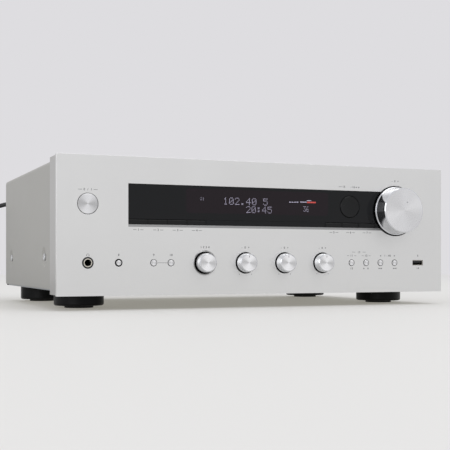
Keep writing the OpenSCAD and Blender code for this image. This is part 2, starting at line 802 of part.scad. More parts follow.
// The transformer: a laminated core round its winding, on two bent feet
module power_transformer() {
    color("#6a4a33") {
        at(transformer_x, transformer_d, base_top + core[2] / 2) {
            cube([core[0], core[1] - 20, core[2]], center = true);
            cube([core[0] - 34, core[1], core[2] - 28], center = true);
        }
        for (s = [-1, 1]) at(transformer_x + s * (core[0] / 2 + 5), transformer_d, base_top + 1)
            cube([14, 30, 2], center = true);
    }
}

// The heat sink: one extruded length, its fins towards the rear
module heat_sink() {
    color("#8f9194") at(sink_x - sink_w / 2, sink_front, base_top) linear_extrude(sink_high) {
        square([sink_w, sink_base]);
        for (i = [0:fins - 1])
            translate([i * (sink_w - fin_t) / (fins - 1), sink_base - 0.5]) square([fin_t, sink_deep - sink_base + 0.5]);
    }
}

// Four power transistors on the sink's face, their legs down to the board
module output_transistors() {
    color("#18191b") for (i = [0:3]) {
        x = sink_x + (i - 1.5) * device_pitch;
        top = amp_h + board_t;
        at(x - device[0] / 2, sink_front - device[1], top + device_lift) cube(device);
        for (j = [-1:1]) at(x + j * leg_pitch - leg_w / 2, sink_front - device[1] / 2 - leg_w / 2, top)
            cube([leg_w, leg_w, device_lift + 0.5]);
    }
}

// The amplifier board on its pillars, with relays and coils
module amplifier_board() {
    back = sink_front - board_bite;
    seat = amp_h + board_t - board_bite;
    color("#2f6b45") {
        at(amp_x[0], amp_front, amp_h) cube([amp_x[1] - amp_x[0], back - amp_front, board_t]);
        for (x = [amp_x[0] + pillar_inset, amp_x[1] - pillar_inset], d = [amp_front + pillar_inset, back - pillar_inset])
            at(x, d, base_top) cylinder(h = standoff + board_bite, r = pillar_r);
        for (i = [0:3]) {
            at(amp_x[0] + relay_x + i * relay_pitch, amp_front + relay_d, seat) cube(relay);
            at(amp_x[0] + relay_x + relay[0] / 2 + i * relay_pitch, amp_front + choke_d, seat)
                cylinder(h = choke_h, r = choke_r);
        }
    }
}

// Two large reservoir capacitors with dished tops
module filter_capacitors() {
    edge = 1;
    rim = 2;
    color("#22252c") for (i = [0, 1]) at(amp_x[0] + can_x + i * can_pitch, amp_front + can_d, amp_h + board_t)
        rotate_extrude() polygon([[0, 0], [can_r - edge, 0], [can_r, edge], [can_r, can_h - edge],
            [can_r - edge, can_h], [can_r - edge - rim, can_h], [can_r - edge - rim, can_h - edge], [0, can_h - edge]]);
}

// The input board stands behind the sockets that carry it
module input_board() {
    color("#2f6b45") layer(input_d, board_t)
        area(input_x[0], base_top + 8, input_x[1], aerial_h + 14);
}

// ---- Rear ----

// A line jack's barrel and flange outside the panel, bored for the plug's pin
module jack_barrel(x, h) {
    turned(x, rear_out, h) polygon([
        [jack_hole_r, jack_out_l], [jack_r - 0.4, jack_out_l], [jack_r, jack_out_l - 0.4], [jack_r, jack_flange_t + 0.05],
        [jack_flange_r, jack_flange_t + 0.05], [jack_flange_r, 0.05], [jack_r, 0.05], [jack_r, -steel_t - 1],
        [jack_hole_r, -steel_t - 1]]);
}

// Nine columns of line jacks, each column on its own moulded block, and the digital jack
module line_jacks() {
    block_d = input_d + board_t;
    color("#b9babc") {
        for (x = jack_x) {
            for (h = [jack_low_h, jack_low_h + jack_rows]) jack_barrel(x, h);
            layer(block_d, rear_in - seat_gap - block_d)
                area(x - jack_block, jack_low_h - jack_block_h, x + jack_block, jack_low_h + jack_rows + jack_block_h);
        }
        jack_barrel(coax_x, coax_h);
        layer(block_d, rear_in - seat_gap - block_d)
            area(coax_x - jack_block, coax_h - jack_block_h, coax_x + jack_block, coax_h + jack_block_h);
    }
}

// The network socket
module lan_socket() {
    d1 = input_d + board_t;
    color("#1e1f21") difference() {
        layer(d1, rear_out + socket_out - d1)
            area(lan_x - lan_w / 2, lan_h - lan_w / 2, lan_x + lan_w / 2, lan_h + lan_w / 2);
        layer(rear_out + socket_out - lan_deep, lan_deep + over)
            area(lan_x - lan_mouth[0] / 2, lan_h - lan_mouth[1] / 2, lan_x + lan_mouth[0] / 2,
                lan_h + lan_mouth[1] / 2);
    }
}

// The aerial socket: a screw barrel with its nut
module aerial_socket() {
    d1 = input_d + board_t;
    color("#b8b49f") difference() {
        union() {
            bar(aerial_x, rear_in - 1, aerial_h, rear_out + aerial_l - rear_in + 1, aerial_r);
            at(aerial_x, rear_out + seat_gap / 2, aerial_h) rotate([-90, 0, 0])
                cylinder(h = aerial_nut_t, r = aerial_nut_r, $fn = 6);
            layer(d1, rear_in - seat_gap - d1)
                area(aerial_x - aerial_block, aerial_h - aerial_block, aerial_x + aerial_block, aerial_h + aerial_block);
        }
        bar(aerial_x, rear_out + 3, aerial_h, aerial_l, aerial_bore_r);
    }
}

// The speaker terminals: a moulded plate that carries eight metal posts, each with a nut, a washer and a bore
module speaker_terminals() {
    rows = [post_low_h, post_low_h + post_rows];
    color("#26272a") layer(rear_out + seat_gap / 2, post_plate_t) difference() {
        rounded(post_x[0] - post_plate_edge, rows[0] - post_plate_edge,
            post_x[3] + post_plate_edge, rows[1] + post_plate_edge, 3);
        for (x = post_x, h = rows) translate([x, h]) circle(r = post_r + run_fit);
    }
    color("#c4ad78") for (x = post_x, h = rows) difference() {
        union() {
            bar(x, rear_in - post_tail, h, post_end + steel_t + post_tail, post_r);
            bar(x, rear_in - post_nut_t, h, post_nut_t - seat_gap, post_nut_r);
            bar(x, rear_out + post_plate_t + seat_gap, h, post_washer_t, post_washer_r);
        }
        bar(x, rear_out + post_end - banana_l, h, banana_l + over, banana_r);
    }
}

// A post's cap: a coloured barrel with grip flutes, on the post
module post_cap(i) {
    x = post_x[i % 4];
    h = post_low_h + (i < 4 ? 0 : post_rows);
    length = post_end - post_cap_back;
    color(i % 2 == 0 ? "#1d1e20" : "#a3231f") difference() {
        turned(x, rear_out + post_cap_back, h) polygon([
            [post_r + run_fit, 0], [post_cap_r - 1, 0], [post_cap_r - 1, 2], [post_cap_r, 2.6],
            [post_cap_r, length - 0.8], [post_cap_r - 0.8, length], [post_r + run_fit, length]]);
        for (k = [0:11]) at(x, rear_out + post_cap_back + 3, h) rotate([-90, 30 * k, 0])
            translate([post_cap_r + 0.5, 0, 0]) cylinder(h = length, r = 1, $fn = 24);
    }
}
module post_cap_1() post_cap(0);
module post_cap_2() post_cap(1);
module post_cap_3() post_cap(2);
module post_cap_4() post_cap(3);
module post_cap_5() post_cap(4);
module post_cap_6() post_cap(5);
module post_cap_7() post_cap(6);
module post_cap_8() post_cap(7);

// ---- Mains lead ----

// The tapered sleeve that the lead leaves by: its neck in the panel, a collar on each side, and ribs
module cord_grommet() {
    color("#141517") turned(exit_x, rear_out, exit_h) polygon(concat(
        [[0, -steel_t - 4], [grommet_r + 1.5, -steel_t - 4], [grommet_r + 1.5, -steel_t - seat_gap],
         [grommet_neck_r, -steel_t - seat_gap], [grommet_neck_r, seat_gap], [grommet_r + 1.5, seat_gap],
         [grommet_r + 1.5, 2]],
        [for (i = [0:5], k = [0, 1, 2, 3])
            let (d = 4 + i * 3.4, r = grommet_r - (grommet_r - lead_r - 1) * (d - 2) / (grommet_l - 2))
            [k == 0 || k == 3 ? r : r - 0.8, d + [0, 0.1, 1.2, 1.3][k]]],
        [[lead_r + 1, grommet_l - 0.5], [lead_r + 0.5, grommet_l], [0, grommet_l]]));
}

function unit(v) = v / norm(v);

// Directions along a list of points: square to the ends, between neighbours elsewhere
function headings(p, first, last) = [for (i = [0:len(p) - 1])
    i == 0 ? first : i == len(p) - 1 ? last : unit(unit(p[i + 1] - p[i]) + unit(p[i] - p[i - 1]))];

// A round tube of the given number of sides along points, each ring square to its heading
module tube(p, head, r, sides) {
    up = [0, 0, 1];
    rings = [for (i = [0:len(p) - 1])
        let (side = unit(cross(head[i], abs(head[i][2]) > 0.999 ? [0, 1, 0] : up)), top = cross(side, head[i]))
        for (k = [0:sides - 1]) p[i] + r * (cos(360 * k / sides) * side + sin(360 * k / sides) * top)];
    n = len(p);
    walls = [for (i = [0:n - 2], k = [0:sides - 1])
        let (a = i * sides + k, b = i * sides + (k + 1) % sides) each [[a, a + sides, b + sides], [a, b + sides, b]]];
    polyhedron(rings, concat(walls,
        [for (k = [1:sides - 2]) [0, k, k + 1]],
        [for (k = [1:sides - 2]) let (a = (n - 1) * sides) [a, a + k + 1, a + k]]));
}

// Where the coil's middle lies on the floor
coil_c = [exit_x + route[len(route) - 1][0], exit_y + route[len(route) - 1][1] - coil_out_r, floor_z];

// The coil's line: it spirals in on the floor, climbs a layer in the half turn in the middle and spirals out above
function coil_point(turn) =
    let (from_mid = turn - coil_turns / 2,
        r = coil_in_r + coil_pitch * abs(from_mid),
        s = min(1, max(0, from_mid / 0.5 + 0.5)),
        a = 90 + 360 * turn)
    coil_c + [r * cos(a), r * sin(a), coil_lift * s * s * (3 - 2 * s)];
coil_line = [for (i = [0:coil_turns * coil_loop_rings]) coil_point(i / coil_loop_rings)];

module mains_lead() {
    start = [for (p = route) [exit_x, exit_y, fz(exit_h)] + p];
    end = [for (p = tail) coil_line[len(coil_line) - 1] + [0, p[1] - lead_d, p[2] - coil_lift]];
    color("#17181a") {
        tube(start, headings(start, [0, 1, 0], [-1, 0, 0]), lead_r, 8);
        tube(end, headings(end, [0, -1, 0], [0, -1, 0]), lead_r, 8);
    }
}

module mains_coil() {
    first = coil_line[0];
    last = coil_line[len(coil_line) - 1];
    line = concat([first + [0, 0, 0]], [for (i = [1:len(coil_line) - 1]) coil_line[i]], [last + [0, -lead_d, 0]]);
    color("#17181a") tube(line, headings(line, [-1, 0, 0], [0, -1, 0]), lead_r, 6);
}
least_gap = min([for (i = [0:3:len(coil_line) - 1], j = [i + 12:1:len(coil_line) - 1])
    norm(coil_line[i] - coil_line[j])]) - lead_d;
echo(least_coil_gap = least_gap);

// The flat two-pin plug with its ribbed neck
module mains_plug() {
    tail_end = coil_line[len(coil_line) - 1] + [0, tail[len(tail) - 1][1] - lead_d, tail[len(tail) - 1][2] - coil_lift];
    color("#17181a") translate(tail_end) rotate([90, 0, 0]) {
        cylinder(h = plug_neck_l + 1, r1 = lead_r + 1, r2 = lead_r + 2);
        translate([0, 0, plug_neck_l]) difference() {
            linear_extrude(plug_l) rounded(-plug_w / 2, -plug_t / 2, plug_w / 2, plug_t / 2, 4);
            for (s = [-1, 1]) translate([s * plug_w / 2, 0, 0]) rotate([0, s * 22, 0])
                cube([8, plug_t + 2, 24], center = true);
        }
        for (s = [-1, 1]) translate([s * plug_pins / 2, 0, plug_neck_l + plug_l - 1])
            cylinder(h = plug_pin_l + 1, r = plug_pin_r);
    }
}

front_panel();
front_frame();
side_cap_left();
side_cap_right();
display_window();
display_module();
control_board();
rotary_controls();
headphone_jack();
usb_socket();
top_cover();
chassis_base();
rear_panel();
screws();
feet();
foot_pads();
power_transformer();
heat_sink();
output_transistors();
amplifier_board();
filter_capacitors();
input_board();
line_jacks();
lan_socket();
aerial_socket();
speaker_terminals();
cord_grommet();
mains_lead();
mains_coil();
mains_plug();
volume_knob();
input_knob();
bass_knob();
treble_knob();
balance_knob();
power_button();
direct_button();
zone_button();
zone_off_button();
memory_button();
tuning_button();
preset_down_button();
preset_up_button();
speaker_a_key();
speaker_b_key();
display_key();
info_key();
setup_key();
enter_key();
return_key();
cursor_gimbal();
cursor_pad();
post_cap_1();
post_cap_2();
post_cap_3();
post_cap_4();
post_cap_5();
post_cap_6();
post_cap_7();
post_cap_8();
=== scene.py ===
import logging
import math
from dataclasses import dataclass, field
from enum import Enum
from typing import Any, Callable, Iterable, Sequence

import bmesh
import bpy
import numpy as np
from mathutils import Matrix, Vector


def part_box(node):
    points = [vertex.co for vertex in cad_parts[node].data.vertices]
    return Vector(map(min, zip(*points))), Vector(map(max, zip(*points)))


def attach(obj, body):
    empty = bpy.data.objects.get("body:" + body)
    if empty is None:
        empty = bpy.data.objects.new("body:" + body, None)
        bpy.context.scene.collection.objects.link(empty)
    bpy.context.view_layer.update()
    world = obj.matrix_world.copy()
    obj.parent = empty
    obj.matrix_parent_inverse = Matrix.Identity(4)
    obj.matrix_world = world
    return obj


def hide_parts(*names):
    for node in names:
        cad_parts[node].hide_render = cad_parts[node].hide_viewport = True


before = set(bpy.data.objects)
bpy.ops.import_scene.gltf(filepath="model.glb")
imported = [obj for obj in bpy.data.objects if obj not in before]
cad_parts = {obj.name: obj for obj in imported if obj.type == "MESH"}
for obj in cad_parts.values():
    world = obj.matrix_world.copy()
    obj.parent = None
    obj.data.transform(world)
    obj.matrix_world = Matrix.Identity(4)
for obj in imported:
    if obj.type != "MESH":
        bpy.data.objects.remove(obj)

LOG = logging.getLogger("receiver")
MM = 0.001
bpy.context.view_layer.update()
# The mesh attribute of painted light on a spun face: how bright its colour is painted at each point, standing
# in for the fans of light that its rings send
PAINTED_FAN_ATTRIBUTE = "painted_fan_light"


# ---- Places in millimetres: x from the middle, d behind the panel's front face, h above its foot ----

PANEL_LOW, PANEL_HIGH = (np.array(corner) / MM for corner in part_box("front_panel"))
PANEL_W, PANEL_T, PANEL_H = (float(size) for size in PANEL_HIGH - PANEL_LOW)
FRONT_Y = float(PANEL_LOW[1])
LIFT = float(PANEL_LOW[2])
# The ink's face stands this far in front of the panel, and the ink is this thick
INK_D = -0.04
INK_T = 0.03
# Height of a numeral in a font of size 1, how far its strokes are thickened, and how far apart it is set
NUMERAL_SHARE = 0.7
STROKE_GAIN = 0.045
LETTER_SPACE = 1.15
# Points closer than this are merged, and edges shorter than the second length are taken out, in metres
MERGE_M = 1e-7
SHORTEST_M = 1e-8


def place(points: np.ndarray) -> np.ndarray:
    """Turns receiver places into the row frame.

    Args:
        points: An array whose last axis is x, d, h in millimetres.

    Returns:
        The same points as x, y, z of the row frame, still in millimetres.
    """
    points = np.asarray(points, dtype=float)
    return np.stack([points[..., 0], points[..., 1] + FRONT_Y, points[..., 2] + LIFT], axis=-1)


def node_box(node: str) -> tuple[np.ndarray, np.ndarray]:
    """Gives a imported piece's corners as receiver places.

    Args:
        node: The piece's name.

    Returns:
        Its lowest and highest corner as x, d, h in millimetres.
    """
    low, high = (np.array(corner) / MM - (0, FRONT_Y, LIFT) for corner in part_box(node))
    return low, high


# ---- Finishes ----


def linear(colour: str) -> tuple[float, float, float, float]:
    """Turns an sRGB hex colour into linear light.

    Args:
        colour: Six hex digits after a hash.

    Returns:
        Linear red, green, blue and full alpha.
    """
    parts = [int(colour[i : i + 2], 16) / 255 for i in (1, 3, 5)]
    rgb = [c / 12.92 if c <= 0.04045 else ((c + 0.055) / 1.055) ** 2.4 for c in parts]
    return (rgb[0], rgb[1], rgb[2], 1.0)


def add_node(tree: bpy.types.NodeTree, kind: str, settings: dict[str, Any] | None = None,
             inputs: dict[Any, Any] | None = None) -> bpy.types.Node:
    """Adds one shader node.

    Args:
        tree: The tree that takes it.
        kind: The node's type name without the ShaderNode prefix.
        settings: Properties to set on the node.
        inputs: Input names or numbers, each with a value, or with an output socket to link.

    Returns:
        The new node.
    """
    node = tree.nodes.new("ShaderNode" + kind)
    for name, value in (settings or {}).items():
        setattr(node, name, value)
    for name, value in (inputs or {}).items():
        if isinstance(value, bpy.types.NodeSocket):
            tree.links.new(value, node.inputs[name])
        else:
            node.inputs[name].default_value = value
    return node


# How close a brushed grain's noise is along x, as a share of across it: that draws it out into lines
BRUSH_STRETCH = 0.04
# Size of the slow clouding of a surface
CLOUD_MM = 60
# The fine and the slow noise add up to a value between these, but for rare peaks
NOISE_LOW, NOISE_HIGH = 0.6, 1.4


class Grain(Enum):
    """How a surface was made, which sets the pattern that its bump follows."""

    SMOOTH = "polished or glazed: no grain, only slow waves"
    POWDER = "blasted, cast, painted or moulded: the same in all directions"
    BRUSHED = "brushed along x: long fine lines"
    SPUN = "turned on a lathe: rings round a front-to-back axis"


@dataclass(frozen=True)
class Finish:
    """A finish: what it is made of and how its surface was made.

    The grain is noise at one real size. It stretches along x for a brushed surface. A spun one has a gloss
    that is drawn out across its rings instead, and fans of light and shade painted into its colour.
    """

    name: str
    colour: str
    metallic: float = 0.0
    roughness: float = 0.5
    grain: Grain = Grain.POWDER
    grain_mm: float = 0.6
    depth_mm: float = 0.02
    roughness_spread: float = 0.08
    shade_spread: float = 0.06
    ior: float = 1.5
    anisotropy: float = 0.0
    glow: float = 0.0
    # How dark a spun face's colour is painted where its rings would send the least light, as a share of its
    # brightest part: painted shade
    fan_low: float = 0.5

    def material(self) -> bpy.types.Material:
        """Builds the material once and gives it back after that.

        Returns:
            The material, under the finish's name.
        """
        material = bpy.data.materials.get(self.name)
        if material:
            return material
        material = bpy.data.materials.new(self.name)
        material.use_nodes = True
        tree = material.node_tree
        tree.nodes.clear()
        colour = linear(self.colour)
        where = add_node(tree, "TexCoord").outputs["Object"]
        stretch = (BRUSH_STRETCH if self.grain is Grain.BRUSHED else 1.0, 1.0, 1.0)
        spread = add_node(tree, "Mapping", None, {"Vector": where, "Scale": stretch})
        fine = add_node(tree, "TexNoise", None, {
            "Vector": spread.outputs[0], "Scale": 1 / (self.grain_mm * MM), "Detail": 2.0, "Roughness": 0.6})
        slow = add_node(tree, "TexNoise", None, {
            "Vector": where, "Scale": 1 / (CLOUD_MM * MM), "Detail": 3.0, "Roughness": 0.5})
        both = add_node(tree, "Math", {"operation": "ADD"}, {0: fine.outputs["Fac"], 1: slow.outputs["Fac"]})
        rough = add_node(tree, "MapRange", None, {
            "Value": both.outputs[0], "From Min": NOISE_LOW, "From Max": NOISE_HIGH,
            "To Min": max(0.02, self.roughness - self.roughness_spread),
            "To Max": min(1.0, self.roughness + self.roughness_spread)})
        dark = tuple(c * (1 - self.shade_spread) for c in colour[:3])
        light = tuple(min(1.0, c * (1 + self.shade_spread)) for c in colour[:3])
        # Inputs 7 to 10 are the vector form of the range's four limits
        shade = add_node(tree, "MapRange", {"data_type": "FLOAT_VECTOR"}, {
            "Vector": both.outputs[0], 7: (NOISE_LOW,) * 3, 8: (NOISE_HIGH,) * 3, 9: dark, 10: light})
        shader = add_node(tree, "BsdfPrincipled", None, {
            "Base Color": shade.outputs["Vector"], "Roughness": rough.outputs[0], "Metallic": self.metallic,
            "IOR": self.ior, "Anisotropic": self.anisotropy})
        if self.grain is not Grain.SMOOTH:
            bump = add_node(tree, "Bump", None, {
                "Height": fine.outputs["Fac"], "Distance": self.depth_mm * MM, "Strength": 1.0})
            tree.links.new(bump.outputs[0], shader.inputs["Normal"])
        if self.grain is Grain.SPUN:
            rings = add_node(tree, "Tangent", {"direction_type": "RADIAL", "axis": "Y"})
            tree.links.new(rings.outputs[0], shader.inputs["Tangent"])
            # Painted light and shade: the fans that the rings send are painted into the base colour from the
            # mesh attribute
            painted_fan_light = add_node(tree, "Attribute", {"attribute_name": PAINTED_FAN_ATTRIBUTE})
            level = add_node(tree, "MapRange", None, {"Value": painted_fan_light.outputs["Fac"], "To Min": self.fan_low})
            painted_fan_colour = add_node(tree, "VectorMath", {"operation": "SCALE"}, {
                0: shade.outputs["Vector"], "Scale": level.outputs[0]})
            tree.links.new(painted_fan_colour.outputs[0], shader.inputs["Base Color"])
        if self.glow:
            shader.inputs["Emission Color"].default_value = colour
            shader.inputs["Emission Strength"].default_value = self.glow
        add_node(tree, "OutputMaterial", None, {"Surface": shader.outputs[0]})
        material.diffuse_color = colour
        return material


# What follows the name and colour: metallic, roughness, grain, the grain's size and depth in mm, and how far
# roughness and shade vary over the surface.

# Aluminium plate, bead-blasted and clear-anodised: an even pale silver with a soft, wide gloss.
BLASTED_ALUMINIUM = Finish(
    "blasted_anodised_aluminium", "#DDDDDC", 1.0, 0.42, Grain.POWDER, 0.5, 0.006, 0.03, 0.01)
# The cuts in that plate are milled after blasting: a shade brighter and glossier.
MILLED_ALUMINIUM = Finish(
    "milled_aluminium_edge", "#E2E2E3", 1.0, 0.28, Grain.BRUSHED, 0.4, 0.004, 0.04, 0.02)
# The sloping ledge under the keys is blasted like the plate; its dark grey colour is painted shade, standing
# in for the dark of the black keys above it.
LEDGE_PAINTED_SHADE = Finish(
    "blasted_aluminium_ledge_painted_shade", "#8C8C8C", 1.0, 0.5, Grain.POWDER, 0.5, 0.006, 0.04, 0.02)
# Spun aluminium face: lathe rings draw the gloss out into pale fans, and fans of painted highlight and
# painted shade are laid into its colour as well.
SPUN_ALUMINIUM_PAINTED_FANS = Finish(
    "spun_aluminium_face_painted_fans", "#FBFBFC", 1.0, 0.28, Grain.SPUN, 0.3, 0.001, 0.03, 0.01, anisotropy=0.8)
# Turned and polished aluminium: the sides of the knobs mirror what stands beside them.
POLISHED_ALUMINIUM = Finish("polished_aluminium", "#D9DADD", 1.0, 0.12, Grain.SMOOTH, 0.5, 0.0, 0.03, 0.02)
# Satin anodised extrusion of the side trims: a soft grey sheen, a shade darker than the plate.
SATIN_ALUMINIUM = Finish("satin_anodised_trim", "#BDBCBA", 1.0, 0.4, Grain.BRUSHED, 0.5, 0.006, 0.04, 0.03)
# Steel sheet with a fine silver texture paint: a dull metallic grey that flattens highlights.
SILVER_PAINT = Finish("silver_texture_paint", "#ACABA6", 0.55, 0.5, Grain.POWDER, 0.45, 0.012, 0.06, 0.03)
# Galvanised steel: cool grey with a faint cloudy bloom.
GALVANISED_STEEL = Finish("galvanised_steel", "#A7AAAC", 0.9, 0.42, Grain.SMOOTH, 2.0, 0.0, 0.1, 0.1)
# Black powder coat of the rear panel: flat black, with a fine texture that breaks up every highlight.
BLACK_POWDER_COAT = Finish("black_powder_coat", "#1F2022", 0.0, 0.55, Grain.POWDER, 0.5, 0.02, 0.08, 0.1)
# Smoked acrylic: black, deep and glossy, with nothing to see in it but the room.
SMOKED_ACRYLIC = Finish(
    "smoked_acrylic", "#0A0B0D", 0.0, 0.06, Grain.SMOOTH, 1.0, 0.0, 0.02, 0.03, ior=1.33)
# The film behind it over the display tube: a violet cast that is just seen.
FILTER_FILM = Finish(
    "violet_filter_film", "#140B11", 0.0, 0.06, Grain.SMOOTH, 1.0, 0.0, 0.02, 0.03, ior=1.33)
# Keys and cursor pad: black ABS, moulded against satin steel, with a soft sheen along the edges.
BLACK_KEY_ABS = Finish(
    "black_satin_abs", "#08090A", 0.0, 0.22, Grain.POWDER, 0.4, 0.003, 0.04, 0.05, ior=1.35)
# Front frame: black ABS with a fine spark texture, dull in every light.
BLACK_FRAME_ABS = Finish(
    "black_spark_textured_abs", "#17181A", 0.0, 0.6, Grain.POWDER, 0.5, 0.02, 0.08, 0.08)
# Feet: black ABS, a little glossier, with dust-dulled patches.
FOOT_ABS = Finish("black_foot_abs", "#08090A", 0.0, 0.42, Grain.POWDER, 0.8, 0.008, 0.1, 0.12, ior=1.28)
# Soft pads: pressed foam rubber, a matt dark grey without a highlight.
FOAM_RUBBER = Finish("foam_rubber_pad", "#202123", 0.0, 0.9, Grain.POWDER, 0.7, 0.06, 0.05, 0.12)
# Cord sheath: flexible vinyl, a dull black with a weak sheen.
VINYL_SHEATH = Finish("black_vinyl_sheath", "#18191B", 0.0, 0.48, Grain.POWDER, 1.2, 0.02, 0.1, 0.1)
# Wire tie: thin white vinyl over a wire, a small pale band with a dull sheen.
WHITE_TIE = Finish("white_vinyl_tie", "#C9C9C4", 0.0, 0.5, Grain.POWDER, 0.8, 0.02, 0.06, 0.05)
# Plug: harder moulded vinyl, black with a clearer highlight than the cord's.
MOULDED_VINYL = Finish("black_moulded_vinyl", "#161719", 0.0, 0.4, Grain.POWDER, 0.7, 0.015, 0.08, 0.08)
# Nickel plate on brass: a warm bright grey.
NICKEL_PLATE = Finish("nickel_plate", "#CFCBC2", 1.0, 0.22, Grain.SMOOTH, 0.6, 0.0, 0.06, 0.04)
# Nickel that has yellowed: the headphone socket's rim, a warm pale ring round the dark bore.
WARM_NICKEL = Finish("yellowed_nickel", "#DAD5C9", 1.0, 0.3, Grain.SMOOTH, 0.6, 0.0, 0.06, 0.05)
# Gold-flashed brass of the speaker posts: a warm yellow with sharp glints.
FLASHED_BRASS = Finish("gold_flashed_brass", "#C9AE70", 1.0, 0.2, Grain.SMOOTH, 0.6, 0.0, 0.05, 0.05)
# Blackened steel screws: dark metal that catches light on its edges alone.
BLACK_STEEL = Finish("black_passivated_steel", "#4A4B4E", 1.0, 0.38, Grain.SMOOTH, 0.5, 0.0, 0.08, 0.06)
# Zinc-plated steel screws: cool grey heads whose glints are softly blurred.
ZINC_PLATE = Finish("bright_zinc_plate", "#C9CACC", 1.0, 0.42, Grain.SMOOTH, 0.5, 0.0, 0.06, 0.04)
# Circuit boards: green solder mask over glass fibre, half glossy and uneven in shade.
SOLDER_MASK = Finish("green_solder_mask", "#1F5B3A", 0.0, 0.3, Grain.POWDER, 2.5, 0.03, 0.08, 0.25)
# Transformer laminations under brown varnish: uneven brown over a metal's sheen.
VARNISHED_STEEL = Finish("varnished_laminations", "#5A3F2B", 0.4, 0.4, Grain.BRUSHED, 0.7, 0.06, 0.1, 0.2)
# Heat sink: plain extruded aluminium, oxidised to a dull grey with faint drawn lines.
PLAIN_EXTRUSION = Finish(
    "plain_extruded_aluminium", "#9A9C9F", 1.0, 0.45, Grain.BRUSHED, 0.6, 0.01, 0.06, 0.05)
# Power transistors: moulded epoxy, matt black.
EPOXY = Finish("moulded_epoxy", "#17181A", 0.0, 0.6, Grain.POWDER, 0.5, 0.02, 0.06, 0.06)
# Capacitors: a shrunk vinyl sleeve, blue-black with a clear streak of light.
SHRUNK_SLEEVE = Finish("shrunk_vinyl_sleeve", "#1C2030", 0.0, 0.25, Grain.SMOOTH, 0.8, 0.0, 0.05, 0.05)
# Vacuum display: dark glass, close to black with a clear mirror image.
DARK_GLASS = Finish(
    "dark_display_glass", "#20262A", 0.0, 0.06, Grain.SMOOTH, 0.8, 0.0, 0.02, 0.04, ior=1.52)
# Terminal mouldings: black polyamide with a soft, waxy gloss.
BLACK_POLYAMIDE = Finish("black_polyamide", "#1D1E20", 0.0, 0.5, Grain.POWDER, 0.6, 0.02, 0.08, 0.08)
# Caps of the speaker posts: polycarbonate, black and red, as glossy as the polished mould.
BLACK_CAP = Finish("black_glossy_cap", "#1B1C1E", 0.0, 0.22, Grain.SMOOTH, 0.6, 0.0, 0.05, 0.05)
RED_CAP = Finish("red_glossy_cap", "#A61F1C", 0.0, 0.22, Grain.SMOOTH, 0.6, 0.0, 0.05, 0.05)
# Insulators of the line jacks, moulded ABS: plain rings of colour, white and red for the two channels and
# orange for the digital jack.
WHITE_INSERT = Finish("white_moulded_insert", "#D6D5CF", 0.0, 0.4, Grain.POWDER, 0.5, 0.01, 0.06, 0.04)
RED_INSERT = Finish("red_moulded_insert", "#A32A25", 0.0, 0.4, Grain.POWDER, 0.5, 0.01, 0.06, 0.04)
ORANGE_INSERT = Finish("orange_moulded_insert", "#C66A22", 0.0, 0.4, Grain.POWDER, 0.5, 0.01, 0.06, 0.04)
# Silk-screened ink on the panel: flat mid grey.
GREY_INK = Finish("grey_screen_ink", "#4A4B4D", 0.0, 0.6, Grain.SMOOTH, 0.5, 0.0, 0.03, 0.03)
# Lit anodes of the display: a cool, faintly violet white, and a red one.
LIT_WHITE = Finish(
    "lit_display_white", "#B7B2C6", 0.0, 0.6, Grain.SMOOTH, 0.5, 0.0, 0.0, 0.0, ior=1.3, glow=0.36)
LIT_RED = Finish(
    "lit_display_red", "#B0443F", 0.0, 0.6, Grain.SMOOTH, 0.5, 0.0, 0.0, 0.0, ior=1.3, glow=0.3)


# ---- Surfaces ----


@dataclass
class Surface:
    """A mesh in the making: points in row-frame millimetres and faces of any size."""

    points: np.ndarray
    faces: list[Sequence[int]]

    def __add__(self, other: "Surface") -> "Surface":
        """Lays another surface's points and faces after this one's."""
        return joined((self, other))


def vectors(items: bpy.types.bpy_prop_collection, name: str) -> np.ndarray:
    """Reads a vector of three, such as a place or a normal, from every vertex or face of a mesh.

    Args:
        items: The mesh's vertices or faces.
        name: What is read from each.

    Returns:
        One row of three numbers for each.
    """
    flat = np.empty(len(items) * 3)
    items.foreach_get(name, flat)
    return flat.reshape(-1, 3)


def grid(points: np.ndarray, wrap_u: bool = False, wrap_v: bool = False) -> Surface:
    """Joins a grid of points with four-sided faces.

    Args:
        points: Rows of points, shape (u, v, 3), in row-frame millimetres.
        wrap_u: Whether the last row meets the first.
        wrap_v: Whether the last column meets the first.

    Returns:
        The surface.
    """
    rows, columns = points.shape[:2]
    u = np.arange(rows if wrap_u else rows - 1)
    v = np.arange(columns if wrap_v else columns - 1)
    uu, vv = np.meshgrid(u, v, indexing="ij")
    u2, v2 = (uu + 1) % rows, (vv + 1) % columns
    quads = np.stack([uu * columns + vv, u2 * columns + vv, u2 * columns + v2, uu * columns + v2], axis=-1)
    return Surface(points.reshape(-1, 3), quads.reshape(-1, 4).tolist())


def capped(tube: Surface, sides: int) -> Surface:
    """Closes a tube with one face over its first ring of points and one over its last.

    Args:
        tube: The tube, whose rings follow each other.
        sides: Points in a ring.

    Returns:
        The same surface, closed.
    """
    last = len(tube.points) - sides
    tube.faces += [list(range(sides)), [last + i for i in reversed(range(sides))]]
    return tube


def lathe(profile: Sequence[tuple[float, float]], x: float, h: float, segments: int = 96,
          closed: bool = False) -> Surface:
    """Turns a profile round a front-to-back axis: each point (r, depth) becomes a circle of radius r.

    Args:
        profile: Radius and depth pairs, from the middle of the front round to the middle of the back.
        x: The axis's place across the panel.
        h: The axis's height on the panel.
        segments: Faces round the axis.
        closed: Whether the profile is a ring that ends where it starts.

    Returns:
        The surface.
    """
    outline = np.asarray(profile, dtype=float)
    angle = np.linspace(0, 2 * np.pi, segments, endpoint=False)
    radius, depth = outline[:, :1], outline[:, 1:]
    points = np.stack([x + radius * np.cos(angle), depth + 0 * angle, h + radius * np.sin(angle)], axis=-1)
    return grid(place(points), wrap_u=closed, wrap_v=True)


